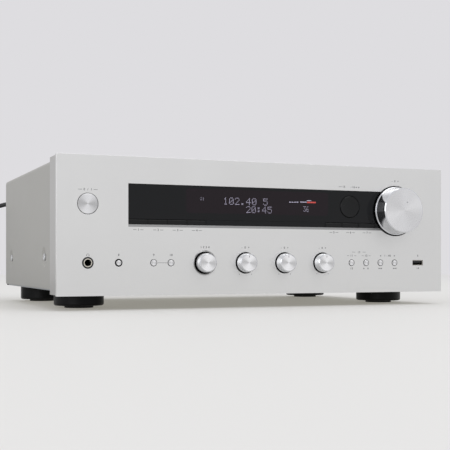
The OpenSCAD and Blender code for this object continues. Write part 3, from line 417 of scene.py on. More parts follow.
def arc(cx: float, cy: float, r: float, start: float, end: float,
        steps: int = 6) -> list[tuple[float, float]]:
    """Gives points along a circular arc: centre plus r times (cos a, sin a).

    Args:
        cx: The centre's first coordinate.
        cy: The centre's second coordinate.
        r: Radius.
        start: First angle in degrees.
        end: Last angle in degrees.
        steps: Stretches between the points.

    Returns:
        The points, both ends included.
    """
    a = np.radians(np.linspace(start, end, steps + 1))
    return [(float(cx + r * np.cos(t)), float(cy + r * np.sin(t))) for t in a]


def smooth_path(points: np.ndarray, steps: int) -> np.ndarray:
    """Runs a curve through points: on each stretch, a cubic whose end slopes are half the neighbours' gap.

    Args:
        points: The points, shape (n, 3).
        steps: Stretches between two points.

    Returns:
        The curve's points, both ends included.
    """
    padded = np.vstack([2 * points[0] - points[1], points, 2 * points[-1] - points[-2]])
    before, start, end, after = padded[:-3, None], padded[1:-2, None], padded[2:-1, None], padded[3:, None]
    t = np.linspace(0, 1, steps, endpoint=False)[None, :, None]
    curve = 0.5 * (2 * start + (end - before) * t + (2 * before - 5 * start + 4 * end - after) * t ** 2
                   + (3 * start - before - 3 * end + after) * t ** 3)
    return np.vstack([curve.reshape(-1, 3), points[-1:]])


def sweep(path: np.ndarray, radius: np.ndarray | float, sides: int = 16) -> Surface:
    """Carries a circle along a path, square to it, and closes both ends.

    Each ring stands on two directions: level across the path, and upwards square to both.

    Args:
        path: The middle line in row-frame millimetres.
        radius: One radius, or one for each point of the path.
        sides: Faces round the tube.

    Returns:
        The closed surface.
    """
    heading = np.gradient(path, axis=0)
    heading /= np.linalg.norm(heading, axis=1, keepdims=True)
    level = np.cross(heading, (0.0, 0.0, 1.0))
    # A heading that is almost upright has no level direction across it, so one from the depth takes its place
    weak = np.linalg.norm(level, axis=1) < 0.02
    level[weak] = np.cross(heading[weak], (0.0, 1.0, 0.0))
    level /= np.linalg.norm(level, axis=1, keepdims=True)
    upward = np.cross(level, heading)
    angle = np.linspace(0, 2 * np.pi, sides, endpoint=False)[None, :, None]
    size = np.broadcast_to(np.asarray(radius, dtype=float), (len(path),))[:, None, None]
    rings = path[:, None] + size * (np.cos(angle) * level[:, None] + np.sin(angle) * upward[:, None])
    return capped(grid(rings, wrap_v=True), sides)


def loop_area(loop: np.ndarray) -> float:
    """Gives a closed outline's signed area: half the sum of the cross products of neighbouring points."""
    x, y = loop[:, 0], loop[:, 1]
    return float(np.sum(x * np.roll(y, -1) - y * np.roll(x, -1)) / 2)


def circle(x: float, h: float, r: float, steps: int = 72) -> np.ndarray:
    """Gives a circle's points: centre plus r times (cos a, sin a)."""
    a = np.linspace(0, 2 * np.pi, steps, endpoint=False)
    return np.stack([x + r * np.cos(a), h + r * np.sin(a)], axis=-1)


def rectangle(x1: float, h1: float, x2: float, h2: float, r: float = 0.0, steps: int = 4) -> np.ndarray:
    """Gives a rectangle's points, or where r isn't 0, a quarter circle about each inner corner.

    Args:
        x1: Left side.
        h1: Lower side.
        x2: Right side.
        h2: Upper side.
        r: Radius of the corners.
        steps: Stretches of each corner.

    Returns:
        The points, anticlockwise.
    """
    if not r:
        return np.array([(x1, h1), (x2, h1), (x2, h2), (x1, h2)])
    return np.array(arc(x2 - r, h1 + r, r, -90, 0, steps) + arc(x2 - r, h2 - r, r, 0, 90, steps)
                    + arc(x1 + r, h2 - r, r, 90, 180, steps) + arc(x1 + r, h1 + r, r, 180, 270, steps))


def slab(loops: Sequence[np.ndarray], d: float, thickness: float, edge: float = 0.0,
         place_it: bool = True) -> Surface:
    """Cuts a flat slab from outlines seen from the front, inner ones being holes, and rounds its edges.

    Args:
        loops: Closed outlines, each an array of (x, h) in millimetres.
        d: Depth of the slab's front face.
        thickness: Its thickness towards the rear.
        edge: Radius of its edges.
        place_it: Whether the points become row-frame points, or stay as x, d, h.

    Returns:
        The closed surface.
    """
    outline = bpy.data.curves.new("outline", "CURVE")
    outline.dimensions = "2D"
    outline.fill_mode = "BOTH"
    outline.extrude = thickness / 2 - edge
    outline.bevel_depth = edge
    outline.bevel_resolution = 1
    outline.offset = -edge
    for number, loop in enumerate(loops):
        loop = np.asarray(loop, dtype=float)
        # With rounded edges a hole runs the other way, so that the offset widens it as it narrows the slab
        if (loop_area(loop) > 0) != (number == 0 or edge == 0.0):
            loop = loop[::-1]
        spline = outline.splines.new("POLY")
        spline.points.add(len(loop) - 1)
        spline.points.foreach_set("co", np.pad(loop, ((0, 0), (0, 2)), constant_values=0.0).ravel())
        spline.use_cyclic_u = True
    return from_curve(outline, lambda flat: np.stack(
        [flat[:, 0], d + thickness / 2 - flat[:, 2], flat[:, 1]], axis=-1), place_it)


def from_curve(curve: bpy.types.Curve, lay: Callable[[np.ndarray], np.ndarray],
               place_it: bool = True) -> Surface:
    """Turns a curve or text into a surface and takes the curve away.

    Args:
        curve: The curve or text.
        lay: Turns its own points into x, d, h.
        place_it: Whether the points become row-frame points.

    Returns:
        The surface.
    """
    item = bpy.data.objects.new("flat", curve)
    bpy.context.scene.collection.objects.link(item)
    mesh = bpy.data.meshes.new_from_object(item.evaluated_get(bpy.context.evaluated_depsgraph_get()))
    points = lay(vectors(mesh.vertices, "co"))
    faces = [list(polygon.vertices) for polygon in mesh.polygons]
    bpy.data.objects.remove(item)
    bpy.data.meshes.remove(mesh)
    return Surface(place(points) if place_it else points, faces)


def text(words: str, x: float, h: float, height: float) -> Surface:
    """Prints numerals or signs on the panel, centred on a place, in a font sized by its numerals' height.

    Args:
        words: The numerals.
        x: The middle across.
        h: The middle's height.
        height: Height of a numeral.

    Returns:
        The surface.
    """
    half = INK_T / 3
    curve = bpy.data.curves.new("numerals", "FONT")
    curve.body = words
    curve.size = height / NUMERAL_SHARE
    curve.align_x = "CENTER"
    curve.align_y = "CENTER"
    curve.extrude = half
    curve.offset = STROKE_GAIN
    curve.space_character = LETTER_SPACE
    return from_curve(curve, lambda flat: np.stack(
        [x + flat[:, 0], INK_D + 2 * half - flat[:, 2], h + flat[:, 1]], axis=-1))


def printed(loop: np.ndarray) -> Surface:
    """Prints a filled outline on the panel."""
    return slab([loop], INK_D, INK_T)


def tiles(middles: np.ndarray, width: float, height: float, d: float, thickness: float) -> Surface:
    """Makes a small closed tile at each place, with its corners half a width and half a height off it.

    Args:
        middles: Places (x, h).
        width: Width of a tile.
        height: Height of a tile.
        d: Depth of the tiles' front faces.
        thickness: Their thickness.

    Returns:
        All the tiles.
    """
    corner = np.array([(x, y, z) for y in (0, 1) for z in (-0.5, 0.5) for x in (-0.5, 0.5)])
    offset = corner * (width, thickness, height)
    base = np.stack([middles[:, 0], np.full(len(middles), d), middles[:, 1]], axis=-1)
    points = (base[:, None] + offset[None]).reshape(-1, 3)
    sides = np.array([(0, 1, 3, 2), (4, 6, 7, 5), (0, 4, 5, 1), (2, 3, 7, 6), (0, 2, 6, 4), (1, 5, 7, 3)])
    faces = (np.arange(len(middles))[:, None, None] * 8 + sides[None]).reshape(-1, 4)
    return Surface(place(points), faces.tolist())


def joined(surfaces: Iterable[Surface]) -> Surface:
    """Lays several surfaces together.

    Args:
        surfaces: The surfaces, in order.

    Returns:
        One surface with all their points and faces.
    """
    points, faces, start = [], [], 0
    for surface in surfaces:
        points.append(surface.points)
        faces += [[i + start for i in face] for face in surface.faces]
        start += len(surface.points)
    return Surface(np.vstack(points), faces)


def second_finish(piece: bpy.types.Object, finish: Finish, chosen: np.ndarray) -> None:
    """Gives some faces of a piece another finish.

    Args:
        piece: The piece.
        finish: The chosen faces' finish.
        chosen: For each face, whether it takes the finish.
    """
    piece.data.materials.append(finish.material())
    piece.data.polygons.foreach_set("material_index", chosen.astype(int))


def middle(node: str) -> tuple[float, float, float]:
    """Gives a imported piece's middle across, its middle height and half its width."""
    low, high = node_box(node)
    return float(low[0] + high[0]) / 2, float(low[2] + high[2]) / 2, float(high[0] - low[0]) / 2


def make_piece(name: str, surface: Surface, finish: Finish, body: str = "root",
               replaces: Iterable[str] = (), smooth: float = 32.0, outward: bool = True,
               flat: float = 0.99999) -> bpy.types.Object:
    """Makes a mesh object of a surface, dresses it and ties it to its body.

    Args:
        name: The piece's name.
        surface: Its points and faces.
        finish: The finish of its whole surface.
        body: The body that it moves with.
        replaces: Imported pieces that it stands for.
        smooth: Edges sharper than this angle, in degrees, stay sharp.
        outward: Whether its faces are turned outwards.
        flat: Faces whose normal has at least this share along the depth are shaded flat.

    Returns:
        The object, at the origin.
    """
    mesh = bpy.data.meshes.new(name)
    mesh.from_pydata((surface.points * MM).tolist(), [], surface.faces)
    work = bmesh.new()
    work.from_mesh(mesh)
    bmesh.ops.remove_doubles(work, verts=work.verts, dist=MERGE_M)
    bmesh.ops.dissolve_degenerate(work, edges=work.edges, dist=SHORTEST_M)
    if outward:
        bmesh.ops.recalc_face_normals(work, faces=work.faces)
    work.to_mesh(mesh)
    work.free()
    mesh.set_sharp_from_angle(angle=math.radians(smooth))
    along = np.abs(vectors(mesh.polygons, "normal")[:, 1])
    mesh.polygons.foreach_set("use_smooth", along < flat)
    mesh.materials.append(finish.material())
    piece = bpy.data.objects.new(name, mesh)
    bpy.context.scene.collection.objects.link(piece)
    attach(piece, body)
    if replaces:
        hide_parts(*replaces)
    LOG.info("%s: %d faces on %s", name, len(mesh.polygons), body)
    return piece


def spin(piece: bpy.types.Object, x: float, h: float, brightest: float, depth: float, most: float) -> None:
    """Paints light and shade into a spun face: notes how much light its rings would send forward.

    Grooves that run round an axis send on the light of the room in two opposite fans, with two darker ones
    between them, and these fans are painted into the colour as painted highlight and painted shade. The share
    at each point is the most times one less the depth times the fourth power of the sine of the angle from
    the brightest direction.

    Args:
        piece: The turned piece.
        x: The axis's place across the panel.
        h: The axis's height on the panel.
        brightest: Direction in which the painted fans are brightest, in degrees from the right,
            anticlockwise.
        depth: How much darker the painted dark fans are: 1 uses the finish's whole range.
        most: The painted share where the fans are brightest.
    """
    points = vectors(piece.data.vertices, "co") / MM - (x, 0, h + LIFT)
    angle = np.arctan2(points[:, 2], points[:, 0]) - math.radians(brightest)
    share = most * (1 - depth * np.sin(angle) ** 4)
    piece.data.attributes.new(PAINTED_FAN_ATTRIBUTE, "FLOAT", "POINT").data.foreach_set("value", share)


def dress(node: str, finish: Finish) -> None:
    """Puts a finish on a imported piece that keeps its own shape.

    Args:
        node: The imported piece's name.
        finish: Its finish.
    """
    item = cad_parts[node]
    for material_slot in item.material_slots:
        material_slot.material = finish.material()
    if not item.material_slots:
        item.data.materials.append(finish.material())
    LOG.info("%s: %s", node, finish.name)


# ---- The studio ----


@dataclass(frozen=True)
class Lamp:
    """A square soft lamp: where it hangs and what it faces, in metres, its side and its power."""

    name: str
    spot: tuple[float, float, float]
    aim: tuple[float, float, float]
    side: float
    watts: float

    def hang(self) -> None:
        """Hangs the lamp and turns it: its tilt and its heading are the two angles of the way to its aim."""
        lamp = bpy.data.lights.new(self.name, "AREA")
        lamp.size = self.side
        lamp.energy = self.watts
        item = bpy.data.objects.new(self.name, lamp)
        item.location = self.spot
        x, y, z = np.array(self.aim) - np.array(self.spot)
        item.rotation_euler = (math.atan2(math.hypot(x, y), -z), 0, math.atan2(y, x) - math.pi / 2)
        bpy.context.scene.collection.objects.link(item)


@dataclass
class Studio:
    """Floor, backdrop, lamps and camera."""

    # The camera's place in the row frame, in metres, and its heading to the right of straight ahead
    camera: tuple[float, float, float] = (-0.4075, -1.0236, 0.0465)
    heading: float = 22.44
    picture_px: int = 450
    focal_px: float = 934.4
    horizon_px: float = 262.3
    sensor_mm: float = 36.0
    farthest: float = 60.0
    floor_size: float = 30.0
    # Where the floor's own shading gives way to the plain colour of the room, in metres from the receiver
    fade: tuple[float, float] = (0.8, 3.0)
    # How much of the near floor is the plain colour: the studio's bounced light, which leaves a pale shadow
    plain_share: float = 0.36
    floor_roughness: float = 0.6
    floor_colour: str = "#D6D7DB"
    near_colour: str = "#DAD6C9"
    wall_colour: str = "#DEDDE0"
    room_colour: str = "#F4F4F6"
    room_light: float = 0.9
    lamps: tuple[Lamp, ...] = (
        Lamp("key_lamp", (0.9, -2.0, 2.5), (0.0, 0.0, 0.05), 1.8, 27.0),
        Lamp("fill_lamp", (-2.0, -2.4, 0.7), (0.0, 0.0, 0.05), 1.8, 20.0),
        Lamp("top_lamp", (0.2, 0.6, 2.6), (0.0, 0.2, 0.0), 2.4, 20.0),
    )

    def build(self) -> None:
        """Makes everything that isn't the receiver."""
        bpy.context.scene.view_settings.view_transform = "Standard"
        self.set_camera()
        self.lay_floor()
        self.light_room()
        for lamp in self.lamps:
            lamp.hang()

    def set_camera(self) -> None:
        """Sets the camera level, with a shift up that puts the horizon below the picture's middle."""
        camera = bpy.data.cameras.new("camera")
        camera.sensor_width = self.sensor_mm
        camera.lens = self.sensor_mm * self.focal_px / self.picture_px
        camera.shift_y = (self.horizon_px - self.picture_px / 2) / self.picture_px
        camera.clip_end = self.farthest
        item = bpy.data.objects.new("camera", camera)
        item.location = self.camera
        item.rotation_euler = (math.pi / 2, 0, -math.radians(self.heading))
        bpy.context.scene.collection.objects.link(item)
        bpy.context.scene.camera = item

    def lay_floor(self) -> None:
        """Lays the floor, a square whose far part shows in the plain colour of the room behind it."""
        half = self.floor_size / 2
        corners = [(-half, -half, 0), (half, -half, 0), (half, half, 0), (-half, half, 0)]
        mesh = bpy.data.meshes.new("floor")
        mesh.from_pydata(corners, [], [(0, 1, 2, 3)])
        mesh.materials.append(self.floor_material())
        item = bpy.data.objects.new("floor", mesh)
        bpy.context.scene.collection.objects.link(item)

    def floor_material(self) -> bpy.types.Material:
        """Makes the floor's matt pale paint, which a plain colour covers more and more with the distance.

        Returns:
            The floor's material.
        """
        material = bpy.data.materials.new("floor")
        material.use_nodes = True
        tree = material.node_tree
        shader = tree.nodes["Principled BSDF"]
        shader.inputs["Base Color"].default_value = linear(self.floor_colour)
        shader.inputs["Roughness"].default_value = self.floor_roughness
        where = add_node(tree, "TexCoord")
        away = add_node(tree, "VectorMath", {"operation": "LENGTH"}, {0: where.outputs["Object"]})
        far = add_node(tree, "MapRange", {"interpolation_type": "SMOOTHSTEP"}, {
            "Value": away.outputs["Value"], "From Min": self.fade[0], "From Max": self.fade[1]})
        tint = add_node(tree, "MapRange", {"data_type": "FLOAT_VECTOR"}, {
            "Vector": far.outputs[0], 9: linear(self.near_colour)[:3], 10: linear(self.wall_colour)[:3]})
        plain = add_node(tree, "Emission", None, {"Color": tint.outputs["Vector"], "Strength": 1.0})
        rays = add_node(tree, "LightPath")
        seen = add_node(tree, "Math", {"operation": "ADD"}, {
            0: rays.outputs["Is Camera Ray"], 1: rays.outputs["Is Glossy Ray"]})
        near = add_node(tree, "Math", {"operation": "MULTIPLY"}, {0: seen.outputs[0], 1: self.plain_share})
        share = add_node(tree, "Math", {"operation": "MAXIMUM"}, {0: far.outputs[0], 1: near.outputs[0]})
        mix = add_node(tree, "MixShader", None, {
            0: share.outputs[0], 1: shader.outputs[0], 2: plain.outputs[0]})
        tree.links.new(mix.outputs[0], tree.nodes["Material Output"].inputs["Surface"])
        return material

    def light_room(self) -> None:
        """Lights the scene with a pale room, which the camera itself sees in the wall's colour."""
        world = bpy.data.worlds.new("room")
        world.use_nodes = True
        tree = world.node_tree
        room = tree.nodes["Background"]
        room.inputs["Color"].default_value = linear(self.room_colour)
        room.inputs["Strength"].default_value = self.room_light
        wall = add_node(tree, "Background", None, {"Color": linear(self.wall_colour), "Strength": 1.0})
        rays = add_node(tree, "LightPath")
        mix = add_node(tree, "MixShader", None, {
            0: rays.outputs["Is Camera Ray"], 1: room.outputs[0], 2: wall.outputs[0]})
        tree.links.new(mix.outputs[0], tree.nodes["World Output"].inputs["Surface"])
        bpy.context.scene.world = world


# ---- The mains lead ----


@dataclass
class MainsLead:
    """The captive lead: strain relief, free run, stored coil with its tie, and the flat two-pin plug."""

    diameter: float = 5.5
    # The free run's points from the strain relief's end, in millimetres, as chosen for the solids
    route: tuple[tuple[float, float, float], ...] = (
        (0, 0, 0), (0, 7, 0), (-1, 14, -0.2), (-4, 21, -0.5), (-9, 27, -1), (-15, 31.5, -2),
        (-22, 34.5, -3.6), (-29, 36, -6), (-36, 36.5, -10), (-42, 36.5, -15.5), (-47, 36.5, -22.5),
        (-50.5, 36.5, -31),
        (-52.5, 36.5, -41), (-53.5, 36.5, -52), (-54.5, 36.5, -63), (-56, 36.5, -74), (-58.5, 36.5, -85),
        (-62.5, 36.5, -95), (-68, 36.5, -104), (-75, 36.5, -111.5), (-83, 36.5, -117), (-91, 36.5, -119.8),
        (-98, 36.5, -120.75), (-104, 36.5, -120.75))
    # The run from the coil to the plug: along y, and the height above the coil's lower layer
    tail: tuple[tuple[float, float], ...] = (
        (0, 6), (-7, 6), (-15, 5.4), (-24, 3.7), (-33, 1.6), (-42, 0.1), (-50, -0.4), (-60, -0.4), (-69, 0.1),
        (-78, 1.5), (-87, 3), (-95, 3.75), (-103, 3.75))
    # Radius of the coil's middle turn, its turns, the room between them, and the turns in which it climbs
    coil_r: float = 33.0
    turns: float = 7.25
    spacing: float = 0.5
    climb: float = 0.5
    # Rings of points for each turn, and faces round the cord, the plug and a pin
    rings: int = 48
    sides: int = 16
    plug_sides: int = 48
    pin_sides: int = 20
    plug_w: float = 26.0
    plug_t: float = 14.0
    plug_l: float = 36.0
    neck_l: float = 14.0
    pin_gap: float = 18.6
    pin_r: float = 2.0
    pin_l: float = 19.0
    sleeve_l: float = 10.0
    sleeve_t: float = 0.15
    tie_angle: float = math.radians(-30)
    tie_w: float = 4.0
    tie_t: float = 0.4
    tie_slack: float = 0.02
    # The tie goes round what lies this near to each side of its own plane
    tie_reach: float = 3.0

    def __post_init__(self) -> None:
        """Works out the spacing of the turns, which the two layers share, and the coil's outer radius."""
        self.pitch = self.diameter + self.spacing
        self.outer_r = self.coil_r + self.turns * self.pitch / 4

    def exit_point(self) -> np.ndarray:
        """Gives the middle of the strain relief's end, in row-frame millimetres."""
        low, high = (np.array(corner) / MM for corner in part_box("cord_grommet"))
        return np.array([(low[0] + high[0]) / 2, high[1], (low[2] + high[2]) / 2])

    def coil(self, start: np.ndarray) -> np.ndarray:
        """Winds the coil: it spirals in, climbs one layer in its middle half turn, and spirals out above.

        The radius is the least one plus one pitch for each turn away from the middle of the winding, and the
        climb is 3 s squared less 2 s cubed.

        Args:
            start: Where the free run reaches the coil, heading towards -x.

        Returns:
            The coil's middle line.
        """
        inner_r = self.coil_r - self.turns * self.pitch / 4
        turn = np.linspace(0, self.turns, int(self.turns * self.rings) + 1)
        away = turn - self.turns / 2
        radius = inner_r + self.pitch * np.abs(away)
        s = np.clip(away / self.climb + 0.5, 0, 1)
        angle = np.radians(90) + 2 * np.pi * turn
        rise = self.pitch * s * s * (3 - 2 * s)
        centre = start - (0, self.outer_r, 0)
        return centre + np.stack([radius * np.cos(angle), radius * np.sin(angle), rise], axis=-1)

    def build(self) -> None:
        exit_at = self.exit_point()
        run = smooth_path(exit_at + np.array(self.route, dtype=float), 3)
        coil = self.coil(run[-1])
        rest = coil[-1] + np.array([(0.0, y - self.diameter, z - self.pitch) for y, z in self.tail])
        rest = smooth_path(np.vstack([coil[-1], rest]), 3)[1:]
        path = np.vstack([run, coil[1:], rest])
        lead = make_piece("mains_cord", sweep(path, self.diameter / 2, self.sides), VINYL_SHEATH,
                          replaces=("mains_lead", "mains_coil"))
        plug = make_piece("euro_plug", self.plug_body(path[-1]), MOULDED_VINYL,
                          replaces=("mains_plug",))
        pins = make_piece("plug_pins", self.pins(path[-1]), NICKEL_PLATE)
        tie = make_piece("coil_tie", self.tie(coil), WHITE_TIE)

    def tie(self, coil: np.ndarray) -> Surface:
        """Wraps a flat strap round the coil's winding at one place, square to the turns.

        Args:
            coil: The coil's middle line.

        Returns:
            The closed strap.
        """
        centre = coil[0] - (0, self.outer_r, 0)
        out = np.array([math.cos(self.tie_angle), math.sin(self.tie_angle), 0.0])
        side = np.array([-out[1], out[0], 0.0])
        away = coil - centre
        near = coil[(np.abs(away @ side) < self.tie_reach) & (away @ out > 0)]
        reach = (near - centre) @ out
        r = self.diameter / 2
        loops = []
        for grow in (r + self.tie_slack + self.tie_t, r + self.tie_slack):
            loops.append(rectangle(reach.min() - grow, near[:, 2].min() - grow, reach.max() + grow,
                                   near[:, 2].max() + grow, grow - self.tie_slack))
        rings = [(loops[0], -1), (loops[0], 1), (loops[1], 1), (loops[1], -1)]
        points = np.stack([(centre * (1, 1, 0)) + loop[:, :1] * out + loop[:, 1:] * (0, 0, 1)
                           + way * self.tie_w / 2 * side for loop, way in rings])
        return grid(points, wrap_u=True, wrap_v=True)

    def plug_body(self, back: np.ndarray) -> Surface:
        """Lofts the plug: outlines along -y whose width swells from the neck, waists and squares off.

        Each outline is the curve of cos a and sin a, raised to the power of 2 over the station's fullness.

        Args:
            back: Where the cord meets the plug.

        Returns:
            The closed surface.
        """
        r = self.diameter / 2
        neck, length = self.neck_l, self.neck_l + self.plug_l
        wide, tall = self.plug_w / 2, self.plug_t / 2
        # Each station: its place along the plug, half its width, half its height and its fullness
        stations = np.array([
            (0.0, r + 0.7, r + 0.7, 2.0), (0.4, r + 1.1, r + 1.1, 2.0), (neck - 2, r + 1.9, r + 1.9, 2.0),
            (neck, r + 3.0, r + 2.4, 2.3), (neck + 4, 8.0, 6.0, 3.0), (neck + 9, 10.6, tall - 0.2, 4.0),
            (neck + 14, 11.6, tall, 5.0), (neck + 20, 12.4, tall, 5.0), (length - 8, wide, tall, 5.0),
            (length - 1.2, wide, tall, 5.0), (length - 0.3, wide - 0.4, tall - 0.4, 5.0),
            (length, wide - 1.2, tall - 1.2, 5.0)])
        table = smooth_path(stations[:, :3], 4)
        power = 2 / np.interp(table[:, 0], stations[:, 0], stations[:, 3])[:, None]
        angle = np.linspace(0, 2 * np.pi, self.plug_sides, endpoint=False)[None, :]
        cosine, sine = np.cos(angle), np.sin(angle)
        across = table[:, 1:2] * np.sign(cosine) * np.abs(cosine) ** power
        rise = table[:, 2:3] * np.sign(sine) * np.abs(sine) ** power
        points = np.stack([back[0] + across, back[1] - table[:, :1] + 0 * across, back[2] + rise], axis=-1)
        return capped(grid(points, wrap_v=True), self.plug_sides)

    def pins(self, back: np.ndarray) -> Surface:
        """Turns the two pins, each with a round tip and a step where its sleeve ends.

        Args:
            back: Where the cord meets the plug.

        Returns:
            Both pins.
        """
        bare = self.pin_r - self.sleeve_t
        stations = np.array([
            (0, self.pin_r), (self.sleeve_l, self.pin_r), (self.sleeve_l + 0.2, bare), (self.pin_l - 1, bare),
            (self.pin_l, 1.5), (self.pin_l + 0.6, 0.9), (self.pin_l + 1.0, 0.1)])
        along = self.neck_l + self.plug_l - 1 + stations[:, 0]
        middles = [back + np.stack([0 * along + side * self.pin_gap / 2, -along, 0 * along], axis=-1)
                   for side in (-1, 1)]
        return joined(sweep(line, stations[:, 1], self.pin_sides) for line in middles)


# ---- The front ----

SMALL_BUTTONS = ("zone_button", "zone_off_button", "memory_button", "tuning_button", "preset_down_button",
                 "preset_up_button")
SMALL_KNOBS = ("input_knob", "bass_knob", "treble_knob", "balance_knob")
LEFT_KEYS = ("speaker_a_key", "speaker_b_key", "display_key", "info_key")
RIGHT_KEYS = ("setup_key", "enter_key", "return_key")


@dataclass
class FrontPanel:
    """The aluminium plate with its openings, the milled ledge under the keys, and the rings in its holes."""

    edge: float = 0.06
    corner_r: float = 0.4
    volume_hole_r: float = 27.6
    knob_hole_r: float = 11.1
    input_hole_r: float = 12.55
    bevel_w: float = 1.1
    button_gap: float = 0.6
    button_flange: float = 1.6
    power_gap: float = 0.55
    sleeve_gap: float = 0.15
    sleeve_d: float = 0.2
    sleeve_fit: float = 0.03
    direct_hole_r: float = 3.85
    ring_fit: float = 0.05
    jack_hole_r: float = 5.65
    slot_gap: float = 0.2
    ledge: float = 2.5
    window_gap: float = 0.2
    # Faces whose normal's share along the depth lies between these are the plate's cut edges
    cut_lean: tuple[float, float] = (0.05, 0.95)

    def __post_init__(self) -> None:
        """Reads the window's and the volume knob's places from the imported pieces."""
        low, high = node_box("display_window")
        self.window_x = float(low[0]) - self.window_gap
        self.window_low = float(low[2]) - self.window_gap
        self.window_high = float(high[2]) + self.window_gap
        self.volume_x, self.volume_h, _ = middle("volume_knob")

    def hole_side(self, h: np.ndarray | float) -> np.ndarray:
        """Gives the volume hole's left side at a height: x less the root of r squared less h squared."""
        return self.volume_x - np.sqrt(self.volume_hole_r ** 2 - (np.asarray(h) - self.volume_h) ** 2)

    def window_loop(self) -> np.ndarray:
        """Outlines the window, which runs into the volume knob's hole, so one outline goes round both.

        Returns:
            The outline's points: an arc of the hole between the window's two left corners.
        """
        low, high = self.window_low - self.ledge, self.window_high
        start, end = (math.degrees(math.atan2(h - self.volume_h, float(self.hole_side(h)) - self.volume_x))
                      for h in (low, high))
        hole = arc(self.volume_x, self.volume_h, self.volume_hole_r, start, end, 72)
        return np.array([(self.window_x, low)] + hole + [(self.window_x, high)])

    def button_radii(self, node: str) -> tuple[float, float]:
        """Gives a button's radius and its hole's.

        Args:
            node: The button.

        Returns:
            Both radii.
        """
        r = middle(node)[2] - self.button_flange
        if node == "direct_button":
            return r, self.direct_hole_r
        return r, r + (self.power_gap if node == "power_button" else self.button_gap)

    def openings(self) -> list[np.ndarray]:
        """Outlines every opening of the plate.

        Returns:
            The outlines: window, knobs, buttons, headphone jack and serial-bus socket.
        """
        holes = [self.window_loop()]
        for node in SMALL_KNOBS:
            x, h, _ = middle(node)
            holes.append(circle(x, h, self.input_hole_r if node == "input_knob" else self.knob_hole_r))
        for node in SMALL_BUTTONS + ("power_button", "direct_button"):
            x, h, _ = middle(node)
            holes.append(circle(x, h, self.button_radii(node)[1], 48))
        x, h, _ = middle("headphone_jack")
        holes.append(circle(x, h, self.jack_hole_r, 48))
        low, high = node_box("usb_socket")
        low, high = low - self.slot_gap, high + self.slot_gap
        return holes + [rectangle(low[0], low[2], high[0], high[2], self.corner_r)]

    def build(self) -> None:
        """Makes the plate, the ledge, the rings and the signs."""
        outline = rectangle(-PANEL_W / 2, 0, PANEL_W / 2, PANEL_H, self.corner_r)
        plate = make_piece("front_plate", slab([outline] + self.openings(), 0.0, PANEL_T, self.edge),
                           BLASTED_ALUMINIUM, replaces=("front_panel",))
        along = np.abs(vectors(plate.data.polygons, "normal")[:, 1])
        second_finish(plate, MILLED_ALUMINIUM, (along >= self.cut_lean[0]) & (along <= self.cut_lean[1]))
        # The ledge's dark grey is painted shade under the black keys
        make_piece("window_ledge", self.ledge_surface(), LEDGE_PAINTED_SHADE)
        self.fit_rings()
        make_piece("panel_signs", PanelSigns(self).printed(), GREY_INK, outward=False)
        dress("front_frame", BLACK_FRAME_ABS)
        for node in ("side_cap_left", "side_cap_right"):
            dress(node, SATIN_ALUMINIUM)

    def fit_rings(self) -> None:
        """Turns the sleeves in the button holes, the input knob's bevel and the direct button's ring."""
        sleeves = []
        for node in SMALL_BUTTONS + ("power_button",):
            x, h, _ = middle(node)
            r, hole_r = self.button_radii(node)
            inner, outer = r + self.sleeve_gap, hole_r - self.sleeve_fit
            sleeve = [(inner, self.sleeve_d), (outer, self.sleeve_d), (outer, PANEL_T), (inner, PANEL_T)]
            sleeves.append(lathe(sleeve, x, h, 64, closed=True))
        make_piece("button_sleeves", joined(sleeves), BLACK_FRAME_ABS)
        x, h, _ = middle("input_knob")
        outer = self.input_hole_r - self.ring_fit
        inner = outer - self.bevel_w
        bevel = [(outer, 0.05), (inner, 0.5), (inner, PANEL_T), (outer, PANEL_T)]
        make_piece("input_bevel", lathe(bevel, x, h, closed=True), SATIN_ALUMINIUM)
        x, h, _ = middle("direct_button")
        r, hole_r = self.button_radii("direct_button")
        inner, outer = r + 0.1, hole_r - self.ring_fit
        ring = [(inner, 0.25), (inner + 0.2, 0.1), (outer - 0.1, 0.1), (outer, 0.2), (outer, PANEL_T),
                (inner, PANEL_T)]
        make_piece("direct_ring", lathe(ring, x, h, 64, closed=True), BLACK_KEY_ABS)

    def ledge_surface(self) -> Surface:
        """Slopes the ledge: its outline is carried along x, and each point ends at the volume knob's hole.

        Returns:
            The closed surface.
        """
        low = self.window_low - self.ledge + 0.02
        outline = np.array([(0.02, low), (0.55, self.window_low - 0.1), (0.8, self.window_low),
                            (PANEL_T, self.window_low), (PANEL_T, low)])
        start = np.full(len(outline), self.window_x)
        end = self.hole_side(outline[:, 1])
        points = np.stack([np.stack([x, outline[:, 0], outline[:, 1]], axis=-1) for x in (start, end)])
        return capped(grid(place(points), wrap_v=True), len(outline))


